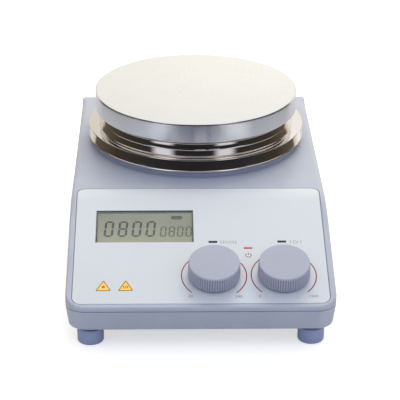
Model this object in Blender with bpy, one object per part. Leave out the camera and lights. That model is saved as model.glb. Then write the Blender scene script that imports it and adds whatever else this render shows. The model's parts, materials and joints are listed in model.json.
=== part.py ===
"""Hot plate magnetic stirrer, built as separate solids that fit together.

Metres, +Z up. X runs to the right, Y runs to the back, and the front faces -Y. The origin is on the
table, under the middle of the whole stirrer, from the case's front to the face of the rear fittings.
"""

import math

import bmesh
import bpy
from mathutils import Matrix, Vector

MM = 0.001
GAP = 0.3 * MM

# Case
CASE_WIDTH = 160 * MM
CASE_DEPTH = 268 * MM
CASE_BOTTOM = 11.9 * MM
CASE_SEAM = 24.9 * MM
CASE_TOP = 57.7 * MM
FRONT_LIP_TOP = 27.2 * MM
SLOPE_RUN = 95.3 * MM
BEND_RADIUS = 36 * MM
FRONT_CORNER = 12 * MM
REAR_CORNER = 2.5 * MM
EDGE_RADIUS = 2 * MM
WALL = 2.5 * MM
BASE_WALL = 3.9 * MM
BASE_DRAFT = 1.5 * MM
LIP_HEIGHT = 0.2 * MM

FITTING_REACH = 2.9 * MM
FRONT = -(CASE_DEPTH + FITTING_REACH) / 2
REAR = FRONT + CASE_DEPTH
CASE_MIDDLE = (FRONT + REAR) / 2
BREAK_Y = FRONT + SLOPE_RUN
SLOPE = math.atan2(CASE_TOP - FRONT_LIP_TOP, SLOPE_RUN)
SLOPE_LENGTH = SLOPE_RUN / math.cos(SLOPE)
BEND_TANGENT = BEND_RADIUS * math.tan(SLOPE / 2)
BASE_FLOOR = CASE_BOTTOM + WALL

# Bosses and vents of the case
BOSS_RADIUS = 4.5 * MM
BOSS_STEP = 0.1 * MM
REAR_BOSS_TOP = CASE_TOP - 1.5 * MM
FRONT_BOSS_TOP = CASE_SEAM + 4.4 * MM
REAR_HOLE_TOP = CASE_SEAM + 12 * MM
FRONT_HOLE_TOP = CASE_SEAM + 3 * MM
FOOT_BOSS_RADIUS = 5 * MM
FOOT_BOSS_DROP = 0.2 * MM
POST_BOSS_RADIUS = 6 * MM
COUNTERSINK_RADIUS = 4.2 * MM
COUNTERSINK_DEPTH = 3.4 * MM
VENT_COUNT = 6
VENT_PITCH = 8 * MM
VENT_SIZE = (52 * MM, 3 * MM)

# Control panel. Places on it are (x, u), where u runs down the slope from the break line
PANEL_HALF_WIDTH = 75.9 * MM
PANEL_START = -8.3 * MM
PANEL_END = 96.2 * MM
PANEL_CORNER = 5.5 * MM
PANEL_TOP = -0.1 * MM
PANEL_BOTTOM = -0.8 * MM
PANEL_SHAFT_HOLE = 7 * MM
RECESS_DEPTH = 1.1 * MM
RECESS_MARGIN = 0.5 * MM
WINDOW_PLACE = (-33.6 * MM, 29.6 * MM)
WINDOW_SIZE = (59.5 * MM, 28.3 * MM)
WINDOW_LEDGE = 0.4 * MM
MODULE_MARGIN = 1.5 * MM
MODULE_DEPTH = 6.5 * MM
MODULE_TOP = -1.5 * MM
MODULE_EDGE = 0.5 * MM
KNOB_PLACES = {"heat": (8.0 * MM, 73.0 * MM), "stir": (49.6 * MM, 73.0 * MM)}
INDICATOR_SIZES = {
    "heat": (8.0 * MM, 43.8 * MM, 5.0 * MM, 1.6 * MM),
    "stir": (50.0 * MM, 43.8 * MM, 5.0 * MM, 1.6 * MM),
    "power": (29.2 * MM, 49.4 * MM, 4.8 * MM, 1.5 * MM),
}
LENS_DEPTH = 4.6 * MM

# Knobs and encoders, heights measured out from the panel's skin
KNOB_RADIUS = 15.7 * MM
KNOB_BOTTOM = 1.2 * MM
KNOB_TOP = 11.3 * MM
KNOB_FACE = 2.4 * MM
KNOB_CROWN = 1.6 * MM
KNOB_HOLLOW_RADIUS = 13 * MM
KNOB_RIBS = 30
RIB_DEPTH = 0.4 * MM
HUB_RADIUS = 5 * MM
KNOB_SHAFT_RADIUS = 2.8 * MM
SHAFT_BOTTOM = -8 * MM
PLUNGER_HEIGHT = 1.5 * MM
KNOB_TRAVEL = 0.8 * MM
ENCODER_SIZE = 13 * MM
ENCODER_TOP = -2.9 * MM
ENCODER_BOTTOM = -11.2 * MM
BUSH_RADIUS = 3.5 * MM
BUSH_TOP = 2.4 * MM
NUT_RADIUS = 5.8 * MM
NUT_TOP = 0.9 * MM

# Hot plate stack, all centred on the plate's axis. Places on it are (radius, degrees)
PLATE_Y = CASE_MIDDLE + 56.7 * MM
PLATE_RADIUS = 67.5 * MM
PLATE_TOP = 93.2 * MM
PLATE_BOTTOM = 80.0 * MM
PLATE_SKIN = 6 * MM
PLATE_RECESS_RADIUS = 60.5 * MM
PLATE_LOW_EDGE = 1 * MM
PLATE_HIGH_EDGE = 0.6 * MM
SHEET = 0.8 * MM
PAN_RADIUS = 72 * MM
PAN_BOTTOM = 61.8 * MM
PAN_FLANGE = 70.4 * MM
PAN_EDGE = 0.5 * MM
PAN_NECK_RADIUS = 64 * MM
PAN_TAPER = 0.6 * MM
PAN_WAIST = 74.0 * MM
PAN_TOP = 78.4 * MM
COLLAR_RADIUS = 68 * MM
COLLAR_BORE = 64.4 * MM
COLLAR_TOP = PAN_FLANGE - SHEET - GAP
COLLAR_EDGE = 1.2 * MM
ELEMENT_Z = 85.2 * MM
ELEMENT_TOP = 86.9 * MM
ELEMENT_BORE = 14 * MM
INSULATION_Z = 82.1 * MM
INSULATION_TOP = 84.9 * MM
INSULATION_RADIUS = 59 * MM
CLAMP_Z = 80.6 * MM
CLAMP_TOP = 81.8 * MM
CLAMP_RADIUS = 59.5 * MM
SHIELD_Z = 77.4 * MM
SHIELD_RADIUS = 62 * MM
POST_CIRCLE = 48 * MM
POST_RADIUS = 4 * MM
POST_ANGLES = (90, 210, 330)
POST_HOLE_DEPTH = 14 * MM
POST_SCREW_INSET = 1 * MM
POST_SCREW_REACH = 12 * MM
STUD_RADIUS = 1.7 * MM
STUD_SKIN = 2.8 * MM
STUD_CLEARANCE = 0.4 * MM
SENSOR_PLACE = (45 * MM, 150)
SENSOR_RADIUS = 1.6 * MM
SENSOR_GAP = 0.4 * MM
SENSOR_SKIN = 4 * MM
SENSOR_TAIL = 6 * MM
THERMOSTAT_PLACE = (51 * MM, 30)
THERMOSTAT_RADIUS = 8 * MM
THERMOSTAT_NECK = 6.6 * MM
THERMOSTAT_HEIGHT = 8 * MM
THERMOSTAT_CAP = 3 * MM
LEAD_PLACE = (50 * MM, 270)
LEAD_HOLE = 2.6 * MM

# Motor, on the same axis
BRACKET_Z = 30.3 * MM
BRACKET_THICKNESS = 2 * MM
BRACKET_RADIUS = 55 * MM
BEARING_RADIUS = 8 * MM
BEARING_HEIGHT = 5 * MM
BEARING_CUP_RADIUS = 11 * MM
BEARING_CUP_HEIGHT = 4 * MM
LOWER_BEARING_RISE = 0.5 * MM
UPPER_BEARING_DROP = 5.5 * MM
MOTOR_RADIUS = 27 * MM
MOTOR_TOP = 58 * MM
CAN_WALL = 1.5 * MM
CAN_EDGE = 1 * MM
CAN_LID = 6 * MM
STATOR_BORE = 13.4 * MM
STATOR_Z = 38.4 * MM
STATOR_HEIGHT = 12 * MM
ROTOR_RADIUS = 13 * MM
ROTOR_Z = 38.9 * MM
ROTOR_HEIGHT = 11 * MM
MOTOR_SHAFT_RADIUS = 2.5 * MM
MOTOR_SHAFT_Z = 28.5 * MM
MOTOR_SHAFT_REACH = 6 * MM
CARRIER_Z = 67.8 * MM
CARRIER_THICKNESS = 2.5 * MM
CARRIER_RADIUS = 34 * MM
CARRIER_HUB_RADIUS = 7 * MM
CARRIER_HUB_DROP = 5 * MM
MAGNET_RADIUS = 9 * MM
MAGNET_HEIGHT = 5.4 * MM
MAGNET_OFFSET = 22 * MM

# Feet and screws
FOOT_X = 65.6 * MM
FOOT_INSET = 12.4 * MM
FOOT_RADIUS = 7.9 * MM
FOOT_NECK_RADIUS = 6 * MM
FOOT_SHOULDER = CASE_BOTTOM - 1.5 * MM
FOOT_EDGE = 0.6 * MM
FOOT_RECESS_RADIUS = 4 * MM
FOOT_RECESS_DEPTH = 3.6 * MM
FOOT_SCREW_BOTTOM = 1.2 * MM
SCREW_RADIUS = 1.7 * MM
SCREW_HOLE = 2.0 * MM
SCREW_HEAD_RADIUS = 3.6 * MM
SCREW_HEAD_HEIGHT = 2.1 * MM
SCREW_CLEARANCE = 0.4 * MM
SOCKET_RADIUS = 1.3 * MM
SOCKET_DEPTH = 1.2 * MM

# Boards and cables
BOARD_TOP = -11.6 * MM
BOARD_THICKNESS = 1.6 * MM
DISPLAY_BOARD_U = 46 * MM
DISPLAY_BOARD_SIZE = (126 * MM, 74 * MM)
CONTROL_BOARD_Y = FRONT + 92 * MM
CONTROL_BOARD_Z = 19 * MM
CONTROL_BOARD_SIZE = (124 * MM, 62 * MM)
DECK = CONTROL_BOARD_Z + BOARD_THICKNESS + GAP
DECK_Y = CONTROL_BOARD_Y + 14 * MM
POWER_MODULE_X = -34 * MM
POWER_MODULE_SIZE = (46 * MM, 32 * MM, 19 * MM)
POWER_MODULE_EDGE = 1 * MM
HEAT_SINK_LEFT = 22 * MM
HEAT_SINK_RIGHT = 46 * MM
FIN_COUNT = 5
FIN_PITCH = 7 * MM
FIN_WIDTH = 4 * MM
FIN_ROOT = 4 * MM
FIN_TOP = 20 * MM
RIBBON_U = 34 * MM
RIBBON_WIDTH = 24 * MM
RIBBON_THICKNESS = 0.9 * MM
RIBBON_LEAN = 1 * MM
RIBBON_DROP = 4 * MM
RIBBON_RUN = 6 * MM
CABLE_RADIUS = 2 * MM

# The heater cable as (distance in front of its hole, height)
CABLE_PATH = (
    (0, 84.4 * MM),
    (0, 72 * MM),
    (3 * MM, 64 * MM),
    (9 * MM, 57 * MM),
    (12 * MM, 48 * MM),
    (14 * MM, 36 * MM),
    (18 * MM, 28 * MM),
    (20 * MM, DECK + 0.4 * MM),
)

# Rear fittings, centred on the rear wall. A sunk block is (width, height, out, deep) from the wall
REAR_Z = 40.5 * MM
FLANGE_EDGE = 0.5 * MM
INLET_X = 40 * MM
INLET_CUT = (28 * MM, 21 * MM)
INLET_FLANGE = (31 * MM, 24.4 * MM)
INLET_BODY = (27.2 * MM, 20.2 * MM, 1.5 * MM, 20.5 * MM)
INLET_CAVITY = (22 * MM, 15 * MM, 3 * MM, 15 * MM)
BLADE_PLACES = ((-7 * MM, -1 * MM), (0, 3 * MM), (7 * MM, -1 * MM))
BLADE_SIZE = (2 * MM, 14 * MM, 4 * MM)
BLADE_DEPTH = 10 * MM
SWITCH_X = 2 * MM
SWITCH_CUT = (13.6 * MM, 19.6 * MM)
SWITCH_FLANGE = (15.4 * MM, 21.4 * MM)
SWITCH_REACH = 1.8 * MM
SWITCH_BODY = (13 * MM, 19 * MM, 1 * MM, 14 * MM)
SWITCH_WELL = (10.6 * MM, 16 * MM, 3.4 * MM, 10.6 * MM)
ROCKER_TILT = math.radians(9)
ROCKER_DEPTH = 2.8 * MM
ROCKER_WIDTH = 9.8 * MM
ROCKER_REACH = 7.4 * MM
ROCKER_VALLEY = 2.6 * MM
ROCKER_BELLY = 3.4 * MM
ROCKER_TIPS = (30, 15, 0, -15)
PROBE_X = -36 * MM
PROBE_CUT = 6.3 * MM
PROBE_BODY_RADIUS = 6 * MM
PROBE_BODY_DEPTH = 14 * MM
PROBE_FLANGE_RADIUS = 8 * MM
PROBE_REACH = 1.6 * MM
PROBE_BORE = 4.6 * MM
PROBE_BORE_DEPTH = 7 * MM

# Cutters reach past what they cut by these
OVERCUT = 1 * MM
BASE_OVERCUT = 6 * MM
RECESS_CUT = 6 * MM
CUT_DEPTH = 12 * MM

PLATE_ROUND = 48
ROUND = 30
MEDIUM_ROUND = 24
FOOT_ROUND = 18
SMALL_ROUND = 12
SCREW_ROUND = 10
CORNER_STEPS = 4
EDGE_STEPS = 2
MERGE = 1e-6
SHARP_ANGLE = math.radians(35)

PLATE_AXIS = Vector((0, PLATE_Y, 0))


# ---------------------------------------------------------------- scene, materials and meshes


def clear_scene():
    """Remove every object, so that only the model is left."""
    for obj in list(bpy.data.objects):
        bpy.data.objects.remove(obj, do_unlink=True)


def make_material(name, colour, roughness, metallic=0.0):
    """Return a Principled material with a linear colour."""
    mat = bpy.data.materials.new(name)
    mat.use_nodes = True
    shader = mat.node_tree.nodes["Principled BSDF"]
    shader.inputs["Base Color"].default_value = (*colour, 1)
    shader.inputs["Roughness"].default_value = roughness
    shader.inputs["Metallic"].default_value = metallic
    mat.diffuse_color = (*colour, 1)
    return mat


def make_materials():
    """Return the model's materials by the name of their use."""
    table = {
        "case": ((0.47, 0.50, 0.56), 0.4, 0.0),
        "panel": ((0.66, 0.70, 0.75), 0.45, 0.0),
        "knob": ((0.40, 0.42, 0.50), 0.55, 0.0),
        "foot": ((0.20, 0.24, 0.34), 0.7, 0.0),
        "ceramic": ((0.86, 0.85, 0.82), 0.35, 0.0),
        "stainless": ((0.62, 0.61, 0.60), 0.12, 1.0),
        "steel": ((0.55, 0.55, 0.56), 0.35, 1.0),
        "aluminium": ((0.72, 0.72, 0.74), 0.4, 1.0),
        "display": ((0.40, 0.43, 0.33), 0.2, 0.0),
        "clear": ((0.75, 0.78, 0.72), 0.05, 0.0),
        "board": ((0.03, 0.16, 0.07), 0.5, 0.0),
        "dark": ((0.03, 0.03, 0.035), 0.45, 0.0),
        "red": ((0.55, 0.04, 0.04), 0.3, 0.0),
        "magnet": ((0.45, 0.45, 0.44), 0.25, 1.0),
        "copper": ((0.60, 0.28, 0.12), 0.35, 1.0),
        "mica": ((0.42, 0.32, 0.20), 0.6, 0.0),
        "fibre": ((0.80, 0.78, 0.72), 0.9, 0.0),
        "cable": ((0.55, 0.50, 0.42), 0.7, 0.0),
    }
    return {name: make_material(name, *values) for name, values in table.items()}


def add_object(name, bm, mat, location=(0, 0, 0), rotation=(0, 0, 0), parent=None):
    """Turn a bmesh into a named object with smooth round sides."""
    bmesh.ops.recalc_face_normals(bm, faces=bm.faces)
    mesh = bpy.data.meshes.new(name)
    bm.to_mesh(mesh)
    bm.free()
    mesh.materials.append(mat)
    mesh.shade_smooth()
    mesh.set_sharp_from_angle(angle=SHARP_ANGLE)
    obj = bpy.data.objects.new(name, mesh)
    bpy.context.scene.collection.objects.link(obj)
    obj.location = location
    obj.rotation_euler = rotation
    obj.parent = parent
    return obj


def add_copy(name, source, location):
    """Add another object that shares the source's mesh."""
    obj = bpy.data.objects.new(name, source.data)
    bpy.context.scene.collection.objects.link(obj)
    obj.location = location
    return obj


def add_frame(name, location, rotation):
    """Add an empty that holds pieces in a tilted frame."""
    empty = bpy.data.objects.new(name, None)
    bpy.context.scene.collection.objects.link(empty)
    empty.location = location
    empty.rotation_euler = rotation
    return empty


def add_cutter(name, bm, location=(0, 0, 0), rotation=(0, 0, 0), parent=None):
    """Add a hidden solid for a Boolean modifier."""
    bmesh.ops.recalc_face_normals(bm, faces=bm.faces)
    mesh = bpy.data.meshes.new(name)
    bm.to_mesh(mesh)
    bm.free()
    obj = bpy.data.objects.new(name, mesh)
    bpy.context.scene.collection.objects.link(obj)
    obj.location = location
    obj.rotation_euler = rotation
    obj.parent = parent
    obj.hide_render = True
    obj.display_type = "WIRE"
    return obj


def combine(target, other, operation="DIFFERENCE"):
    """Cut or join another solid into the target."""
    modifier = target.modifiers.new(other.name, "BOOLEAN")
    modifier.operation = operation
    modifier.solver = "EXACT"
    modifier.object = other


def regular_outline(radius, sides):
    """Corner points of a regular polygon."""
    step = 2 * math.pi / sides
    return [(radius * math.cos(i * step), radius * math.sin(i * step)) for i in range(sides)]


def turned(profile, segments=ROUND, centre=(0, 0)):
    """Spin a (radius, height) outline about an upright axis: closed, or capped where it meets the axis."""
    bm = bmesh.new()
    capped = profile[0][0] == 0
    rings = []
    for radius, z in profile:
        if radius:
            circle = regular_outline(radius, segments)
            rings.append([bm.verts.new((centre[0] + x, centre[1] + y, z)) for x, y in circle])
    pairs = list(zip(rings, rings[1:]))
    if capped:
        bm.faces.new(rings[0])
        bm.faces.new(rings[-1])
    else:
        pairs.append((rings[-1], rings[0]))
    for low, high in pairs:
        for i in range(segments):
            j = (i + 1) % segments
            bm.faces.new((low[i], low[j], high[j], high[i]))
    return bm


def ring(inner, outer, bottom, top, segments=ROUND, centre=(0, 0)):
    """A plain tube or washer."""
    profile = [(inner, bottom), (outer, bottom), (outer, top), (inner, top)]
    return turned(profile, segments, centre)


def disc(radius, bottom, top, segments=ROUND, centre=(0, 0)):
    """A plain round bar or disc."""
    return turned([(0, bottom), (radius, bottom), (radius, top), (0, top)], segments, centre)


def block(size, centre=(0, 0, 0), bevel=0.0, steps=2):
    """A box, its edges rounded if asked."""
    bm = bmesh.new()
    bmesh.ops.create_cube(bm, size=1)
    bmesh.ops.scale(bm, vec=size, verts=bm.verts)
    if bevel:
        bmesh.ops.bevel(bm, geom=bm.edges[:], offset=bevel, segments=steps, profile=0.5, affect="EDGES")
    bmesh.ops.translate(bm, vec=centre, verts=bm.verts)
    return bm


def prism(outline, bottom, top):
    """Extrude a closed outline of (x, y) points upright."""
    bm = bmesh.new()
    face = bm.faces.new([bm.verts.new((x, y, bottom)) for x, y in outline])
    grown = bmesh.ops.extrude_face_region(bm, geom=[face])
    moved = [v for v in grown["geom"] if isinstance(v, bmesh.types.BMVert)]
    bmesh.ops.translate(bm, vec=(0, 0, top - bottom), verts=moved)
    return bm


def side_prism(outline, left, right):
    """Extrude a closed outline of (y, z) points from left to right."""
    bm = bmesh.new()
    face = bm.faces.new([bm.verts.new((left, y, z)) for y, z in outline])
    grown = bmesh.ops.extrude_face_region(bm, geom=[face])
    moved = [v for v in grown["geom"] if isinstance(v, bmesh.types.BMVert)]
    bmesh.ops.translate(bm, vec=(right - left, 0, 0), verts=moved)
    return bm


def swept(points, radius, sides=8):
    """A round cable along a path, with flat ends."""
    bm = bmesh.new()
    path = [Vector(p) for p in points]
    rings = []
    side = Vector((1, 0, 0))
    for i, point in enumerate(path):
        ahead = path[min(i + 1, len(path) - 1)]
        behind = path[max(i - 1, 0)]
        along = (ahead - behind).normalized()
        side = (side - along * side.dot(along)).normalized()
        other = along.cross(side)
        circle = regular_outline(radius, sides)
        rings.append([bm.verts.new(point + side * a + other * b) for a, b in circle])
    for low, high in zip(rings, rings[1:]):
        for i in range(sides):
            j = (i + 1) % sides
            bm.faces.new((low[i], low[j], high[j], high[i]))
    bm.faces.new(rings[0])
    bm.faces.new(rings[-1])
    return bm


# ---------------------------------------------------------------- the case's skin


def skin_point(u, lift=0.0):
    """(y, z) of the case's outer skin, u down the slope from the break line, lift outwards."""
    if u <= -BEND_TANGENT:
        return BREAK_Y - u, CASE_TOP + lift
    angle = SLOPE
    radius = BEND_RADIUS + lift
    if u < BEND_TANGENT:
        angle = SLOPE * (u + BEND_TANGENT) / (2 * BEND_TANGENT)
    y = BREAK_Y + BEND_TANGENT - radius * math.sin(angle)
    z = CASE_TOP - BEND_RADIUS + radius * math.cos(angle)
    rest = max(0.0, u - BEND_TANGENT)
    return y - rest * math.cos(SLOPE), z - rest * math.sin(SLOPE)


def bend_stations(count=4):
    """Values of u that round the bend."""
    return [BEND_TANGENT * (2 * i / count - 1) for i in range(count + 1)]


def slope_frame(name, x, u):
    """An empty on the panel's skin, its Z pointing out of the panel."""
    y, z = skin_point(u)
    return add_frame(name, (x, y, z), (SLOPE, 0, 0))


def panel_sheet(grow, bottom, top):
    """A sheet that follows the skin from above the break to the foot of the slope."""
    start = PANEL_START - grow
    end = PANEL_END + grow
    half = PANEL_HALF_WIDTH + grow
    corner = PANEL_CORNER + grow
    corner_steps = [corner * (1 - math.cos(math.pi / 2 * i / 4)) for i in range(5)]
    stations = sorted([start + s for s in corner_steps] + bend_stations() + [end - s for s in corner_steps])
    bm = bmesh.new()
    rows = []
    for u in stations:
        edge = min(u - start, end - u, corner)
        x = half - corner + math.sqrt(max(0.0, corner**2 - (corner - edge) ** 2))
        low = skin_point(u, bottom)
        high = skin_point(u, top)
        corners = ((-x, *low), (x, *low), (x, *high), (-x, *high))
        rows.append([bm.verts.new(c) for c in corners])
    for a, b in zip(rows, rows[1:]):
        for i in range(4):
            j = (i + 1) % 4
            bm.faces.new((a[i], a[j], b[j], b[i]))
    bm.faces.new(rows[0])
    bm.faces.new(rows[-1])
    return bm


def case_outline(inset, bottom):
    """The case's side outline as (y, z), pulled in by a wall."""
    slope_end = SLOPE_LENGTH - inset * (1 - math.sin(SLOPE)) / math.cos(SLOPE)
    points = [(FRONT + inset, bottom), skin_point(slope_end, -inset)]
    points += [skin_point(u, -inset) for u in reversed(bend_stations())]
    points += [(REAR - inset, CASE_TOP - inset), (REAR - inset, bottom)]
    return points


def round_case(bm, inset, edge):
    """Round the upright corners of a shell pulled in by a wall, then the rim round its top."""
    bmesh.ops.recalc_face_normals(bm, faces=bm.faces)
    round_corners(bm, inset)
    if edge:
        bm.normal_update()
        rim = [e for e in bm.edges if is_rim(e)]
        bmesh.ops.bevel(bm, geom=rim, offset=edge, segments=EDGE_STEPS, profile=0.5, affect="EDGES")
    bmesh.ops.remove_doubles(bm, verts=bm.verts, dist=MERGE)


def round_corners(bm, inset):
    """Round the upright edges: generously at the front, and sharply at the rear of the outer skin."""
    front = FRONT_CORNER - inset
    rear = front if inset else REAR_CORNER
    for radius, behind in ((front, False), (rear, True)):
        corners = [e for e in bm.edges if is_upright(e) and (e.verts[0].co.y > CASE_MIDDLE) == behind]
        bmesh.ops.bevel(
            bm, geom=corners, offset=radius, segments=CORNER_STEPS, profile=0.5, affect="EDGES"
        )


def is_upright(edge):
    """Whether an edge stands upright, or nearly."""
    a, b = (v.co for v in edge.verts)
    return abs(a.z - b.z) > 2 * (abs(a.x - b.x) + abs(a.y - b.y))


def is_rim(edge):
    """Whether an edge joins a wall to the top or the slope."""
    if len(edge.link_faces) != 2:
        return False
    tilts = sorted(f.normal.z for f in edge.link_faces)
    return abs(tilts[0]) < 0.2 and tilts[1] > 0.8


# ---------------------------------------------------------------- case pieces


def foot_places():
    """Name and (x, y) of each foot."""
    for end, y in (("front", FRONT + FOOT_INSET), ("rear", REAR - FOOT_INSET)):
        for side, x in (("left", -FOOT_X), ("right", FOOT_X)):
            yield f"{end}_{side}", x, y


def build_top_housing(mats):
    """The upper shell: sloped front, panel recess, openings, collar and screw bosses."""
    bm = side_prism(case_outline(0, CASE_SEAM), -CASE_WIDTH / 2, CASE_WIDTH / 2)
    round_case(bm, 0, EDGE_RADIUS)
    housing = add_object("top_housing", bm, mats["case"])
    collar = [
        (0, CASE_TOP - WALL),
        (COLLAR_RADIUS, CASE_TOP - WALL),
        (COLLAR_RADIUS, COLLAR_TOP - COLLAR_EDGE),
        (COLLAR_RADIUS - COLLAR_EDGE, COLLAR_TOP),
        (0, COLLAR_TOP),
    ]
    combine(housing, add_cutter("collar_add", turned(collar), PLATE_AXIS), "UNION")
    half = CASE_WIDTH / 2 - WALL
    inside = side_prism(case_outline(WALL, CASE_SEAM - OVERCUT), -half, half)
    round_case(inside, WALL, 0)
    combine(housing, add_cutter("housing_cavity", inside))
    bore = disc(COLLAR_BORE, CASE_TOP - 2 * WALL, PLATE_BOTTOM)
    combine(housing, add_cutter("collar_bore", bore, PLATE_AXIS))
    for name, x, y in foot_places():
        rear = y > 0
        boss_top = REAR_BOSS_TOP if rear else FRONT_BOSS_TOP
        hole_top = REAR_HOLE_TOP if rear else FRONT_HOLE_TOP
        boss = disc(BOSS_RADIUS, CASE_SEAM + BOSS_STEP, boss_top, SMALL_ROUND)
        combine(housing, add_cutter(f"boss_{name}", boss, (x, y, 0)), "UNION")
        hole = disc(SCREW_HOLE, CASE_SEAM - OVERCUT, hole_top, SMALL_ROUND)
        combine(housing, add_cutter(f"boss_hole_{name}", hole, (x, y, 0)))
    recess = panel_sheet(RECESS_MARGIN, -RECESS_DEPTH, RECESS_CUT)
    combine(housing, add_cutter("panel_recess", recess))
    cut_panel_openings(housing, "housing", BUSH_RADIUS + GAP, WINDOW_LEDGE)
    cut_rear_openings(housing)
    return housing


def cut_panel_openings(target, label, shaft_hole, window_ledge):
    """Cut the window, the two shaft holes and the three light slots through a skin."""
    frame = slope_frame(f"{label}_window_frame", *WINDOW_PLACE)
    width, height = WINDOW_SIZE
    opening = block((width - 2 * window_ledge, height - 2 * window_ledge, CUT_DEPTH))
    combine(target, add_cutter(f"{label}_window_cut", opening, parent=frame))
    for name, place in KNOB_PLACES.items():
        frame = slope_frame(f"{label}_{name}_frame", *place)
        hole = disc(shaft_hole, -CUT_DEPTH / 2, CUT_DEPTH / 2, MEDIUM_ROUND)
        combine(target, add_cutter(f"{label}_{name}_hole", hole, parent=frame))
    for name, (x, u, width, height) in INDICATOR_SIZES.items():
        frame = slope_frame(f"{label}_{name}_light_frame", x, u)
        slot = block((width + 2 * GAP, height + 2 * GAP, CUT_DEPTH))
        combine(target, add_cutter(f"{label}_{name}_slot", slot, parent=frame))


def cut_rear_openings(housing):
    """Cut the rear wall for the inlet, the switch and the probe socket."""
    for name, x, (width, height) in (("inlet", INLET_X, INLET_CUT), ("switch", SWITCH_X, SWITCH_CUT)):
        opening = block((width, CUT_DEPTH, height), (x, REAR, REAR_Z))
        combine(housing, add_cutter(f"{name}_cut", opening))
    probe = disc(PROBE_CUT, -CUT_DEPTH / 2, CUT_DEPTH / 2, MEDIUM_ROUND)
    cutter = add_cutter("probe_cut", probe, (PROBE_X, REAR, REAR_Z), (math.pi / 2, 0, 0))
    combine(housing, cutter)


def base_prism(inset, bottom, top):
    """A tapering tray body, narrower at the bottom, with rounded upright corners."""
    middle = (top + bottom) / 2
    bm = block((CASE_WIDTH - 2 * inset, CASE_DEPTH - 2 * inset, top - bottom), (0, CASE_MIDDLE, middle))
    for v in bm.verts:
        if v.co.z < middle:
            v.co.x -= math.copysign(BASE_DRAFT, v.co.x)
            v.co.y -= math.copysign(BASE_DRAFT, v.co.y - CASE_MIDDLE)
    round_corners(bm, inset)
    return bm


def build_base_cover(mats):
    """The lower tray with its locating lip, bosses, vent slots and screw holes."""
    top = CASE_SEAM - GAP
    base = add_object("base_cover", base_prism(0, CASE_BOTTOM, top), mats["case"])
    low = CASE_BOTTOM + OVERCUT
    lip = base_prism(WALL + GAP, low, CASE_SEAM + LIP_HEIGHT)
    combine(base, add_cutter("base_lip", lip), "UNION")
    inside = base_prism(BASE_WALL, BASE_FLOOR, top + BASE_OVERCUT)
    combine(base, add_cutter("base_cavity", inside))
    for name, x, y in foot_places():
        boss = disc(FOOT_BOSS_RADIUS, low, top - FOOT_BOSS_DROP, SMALL_ROUND)
        combine(base, add_cutter(f"base_boss_{name}", boss, (x, y, 0)), "UNION")
        hole = disc(SCREW_HOLE, 0, CASE_TOP, SMALL_ROUND)
        combine(base, add_cutter(f"base_hole_{name}", hole, (x, y, 0)))
    for number, (x, y) in enumerate(post_places(), 1):
        boss = disc(POST_BOSS_RADIUS, low, BRACKET_Z - GAP, SMALL_ROUND)
        combine(base, add_cutter(f"base_post_boss_{number}", boss, (x, y, 0)), "UNION")
        hole = disc(SCREW_HOLE, 0, CASE_TOP, SMALL_ROUND)
        combine(base, add_cutter(f"base_post_hole_{number}", hole, (x, y, 0)))
        sink = disc(COUNTERSINK_RADIUS, 0, CASE_BOTTOM + COUNTERSINK_DEPTH, SMALL_ROUND)
        combine(base, add_cutter(f"base_post_sink_{number}", sink, (x, y, 0)))
    for number in range(VENT_COUNT):
        y = PLATE_Y + (number - (VENT_COUNT - 1) / 2) * VENT_PITCH
        slot = block((*VENT_SIZE, CUT_DEPTH), (0, y, CASE_BOTTOM))
        combine(base, add_cutter(f"vent_{number}", slot))
    return base


def build_control_panel(mats):
    """The inset panel, bent over the break, and its clear window."""
    panel = add_object("control_panel", panel_sheet(0, PANEL_BOTTOM, PANEL_TOP), mats["panel"])
    cut_panel_openings(panel, "panel", PANEL_SHAFT_HOLE, -GAP)
    frame = slope_frame("window_frame", *WINDOW_PLACE)
    size = (*WINDOW_SIZE, PANEL_TOP - PANEL_BOTTOM)
    centre = (0, 0, (PANEL_TOP + PANEL_BOTTOM) / 2)
    add_object("lcd_window", block(size, centre), mats["clear"], parent=frame)
    width, height = WINDOW_SIZE
    size = (width - MODULE_MARGIN, height - MODULE_MARGIN, MODULE_DEPTH)
    module = block(size, (0, 0, MODULE_TOP - MODULE_DEPTH / 2), MODULE_EDGE, 1)
    add_object("lcd_module", module, mats["display"], parent=frame)


def build_indicators(mats):
    """Three small light guides that pass through the panel and the housing."""
    for name, (x, u, width, height) in INDICATOR_SIZES.items():
        frame = slope_frame(f"{name}_indicator_frame", x, u)
        lens = block((width, height, LENS_DEPTH), (0, 0, PANEL_TOP - LENS_DEPTH / 2))
        mat = mats["red"] if name == "power" else mats["dark"]
        add_object(f"{name}_indicator", lens, mat, parent=frame)


def build_feet(mats):
    """Four rubber feet, each held by a screw that also joins the case halves."""
    top = CASE_BOTTOM - GAP
    profile = [
        (SCREW_HOLE, FOOT_RECESS_DEPTH),
        (FOOT_RECESS_RADIUS, FOOT_RECESS_DEPTH),
        (FOOT_RECESS_RADIUS, 0),
        (FOOT_RADIUS - FOOT_EDGE, 0),
        (FOOT_RADIUS, FOOT_EDGE),
        (FOOT_RADIUS, FOOT_SHOULDER),
        (FOOT_NECK_RADIUS, FOOT_SHOULDER),
        (FOOT_NECK_RADIUS, top),
        (SCREW_HOLE, top),
    ]
    foot = None
    screws = {}
    for name, x, y in foot_places():
        if foot is None:
            foot = add_object(f"foot_{name}", turned(profile, FOOT_ROUND), mats["foot"], (x, y, 0))
        else:
            add_copy(f"foot_{name}", foot, (x, y, 0))
        tip = (REAR_HOLE_TOP if y > 0 else FRONT_HOLE_TOP) - SCREW_CLEARANCE
        if tip not in screws:
            screw = screw_shape(FOOT_SCREW_BOTTOM, tip)
            screws[tip] = add_object(f"foot_screw_{name}", screw, mats["steel"], (x, y, 0))
        else:
            add_copy(f"foot_screw_{name}", screws[tip], (x, y, 0))


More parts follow.
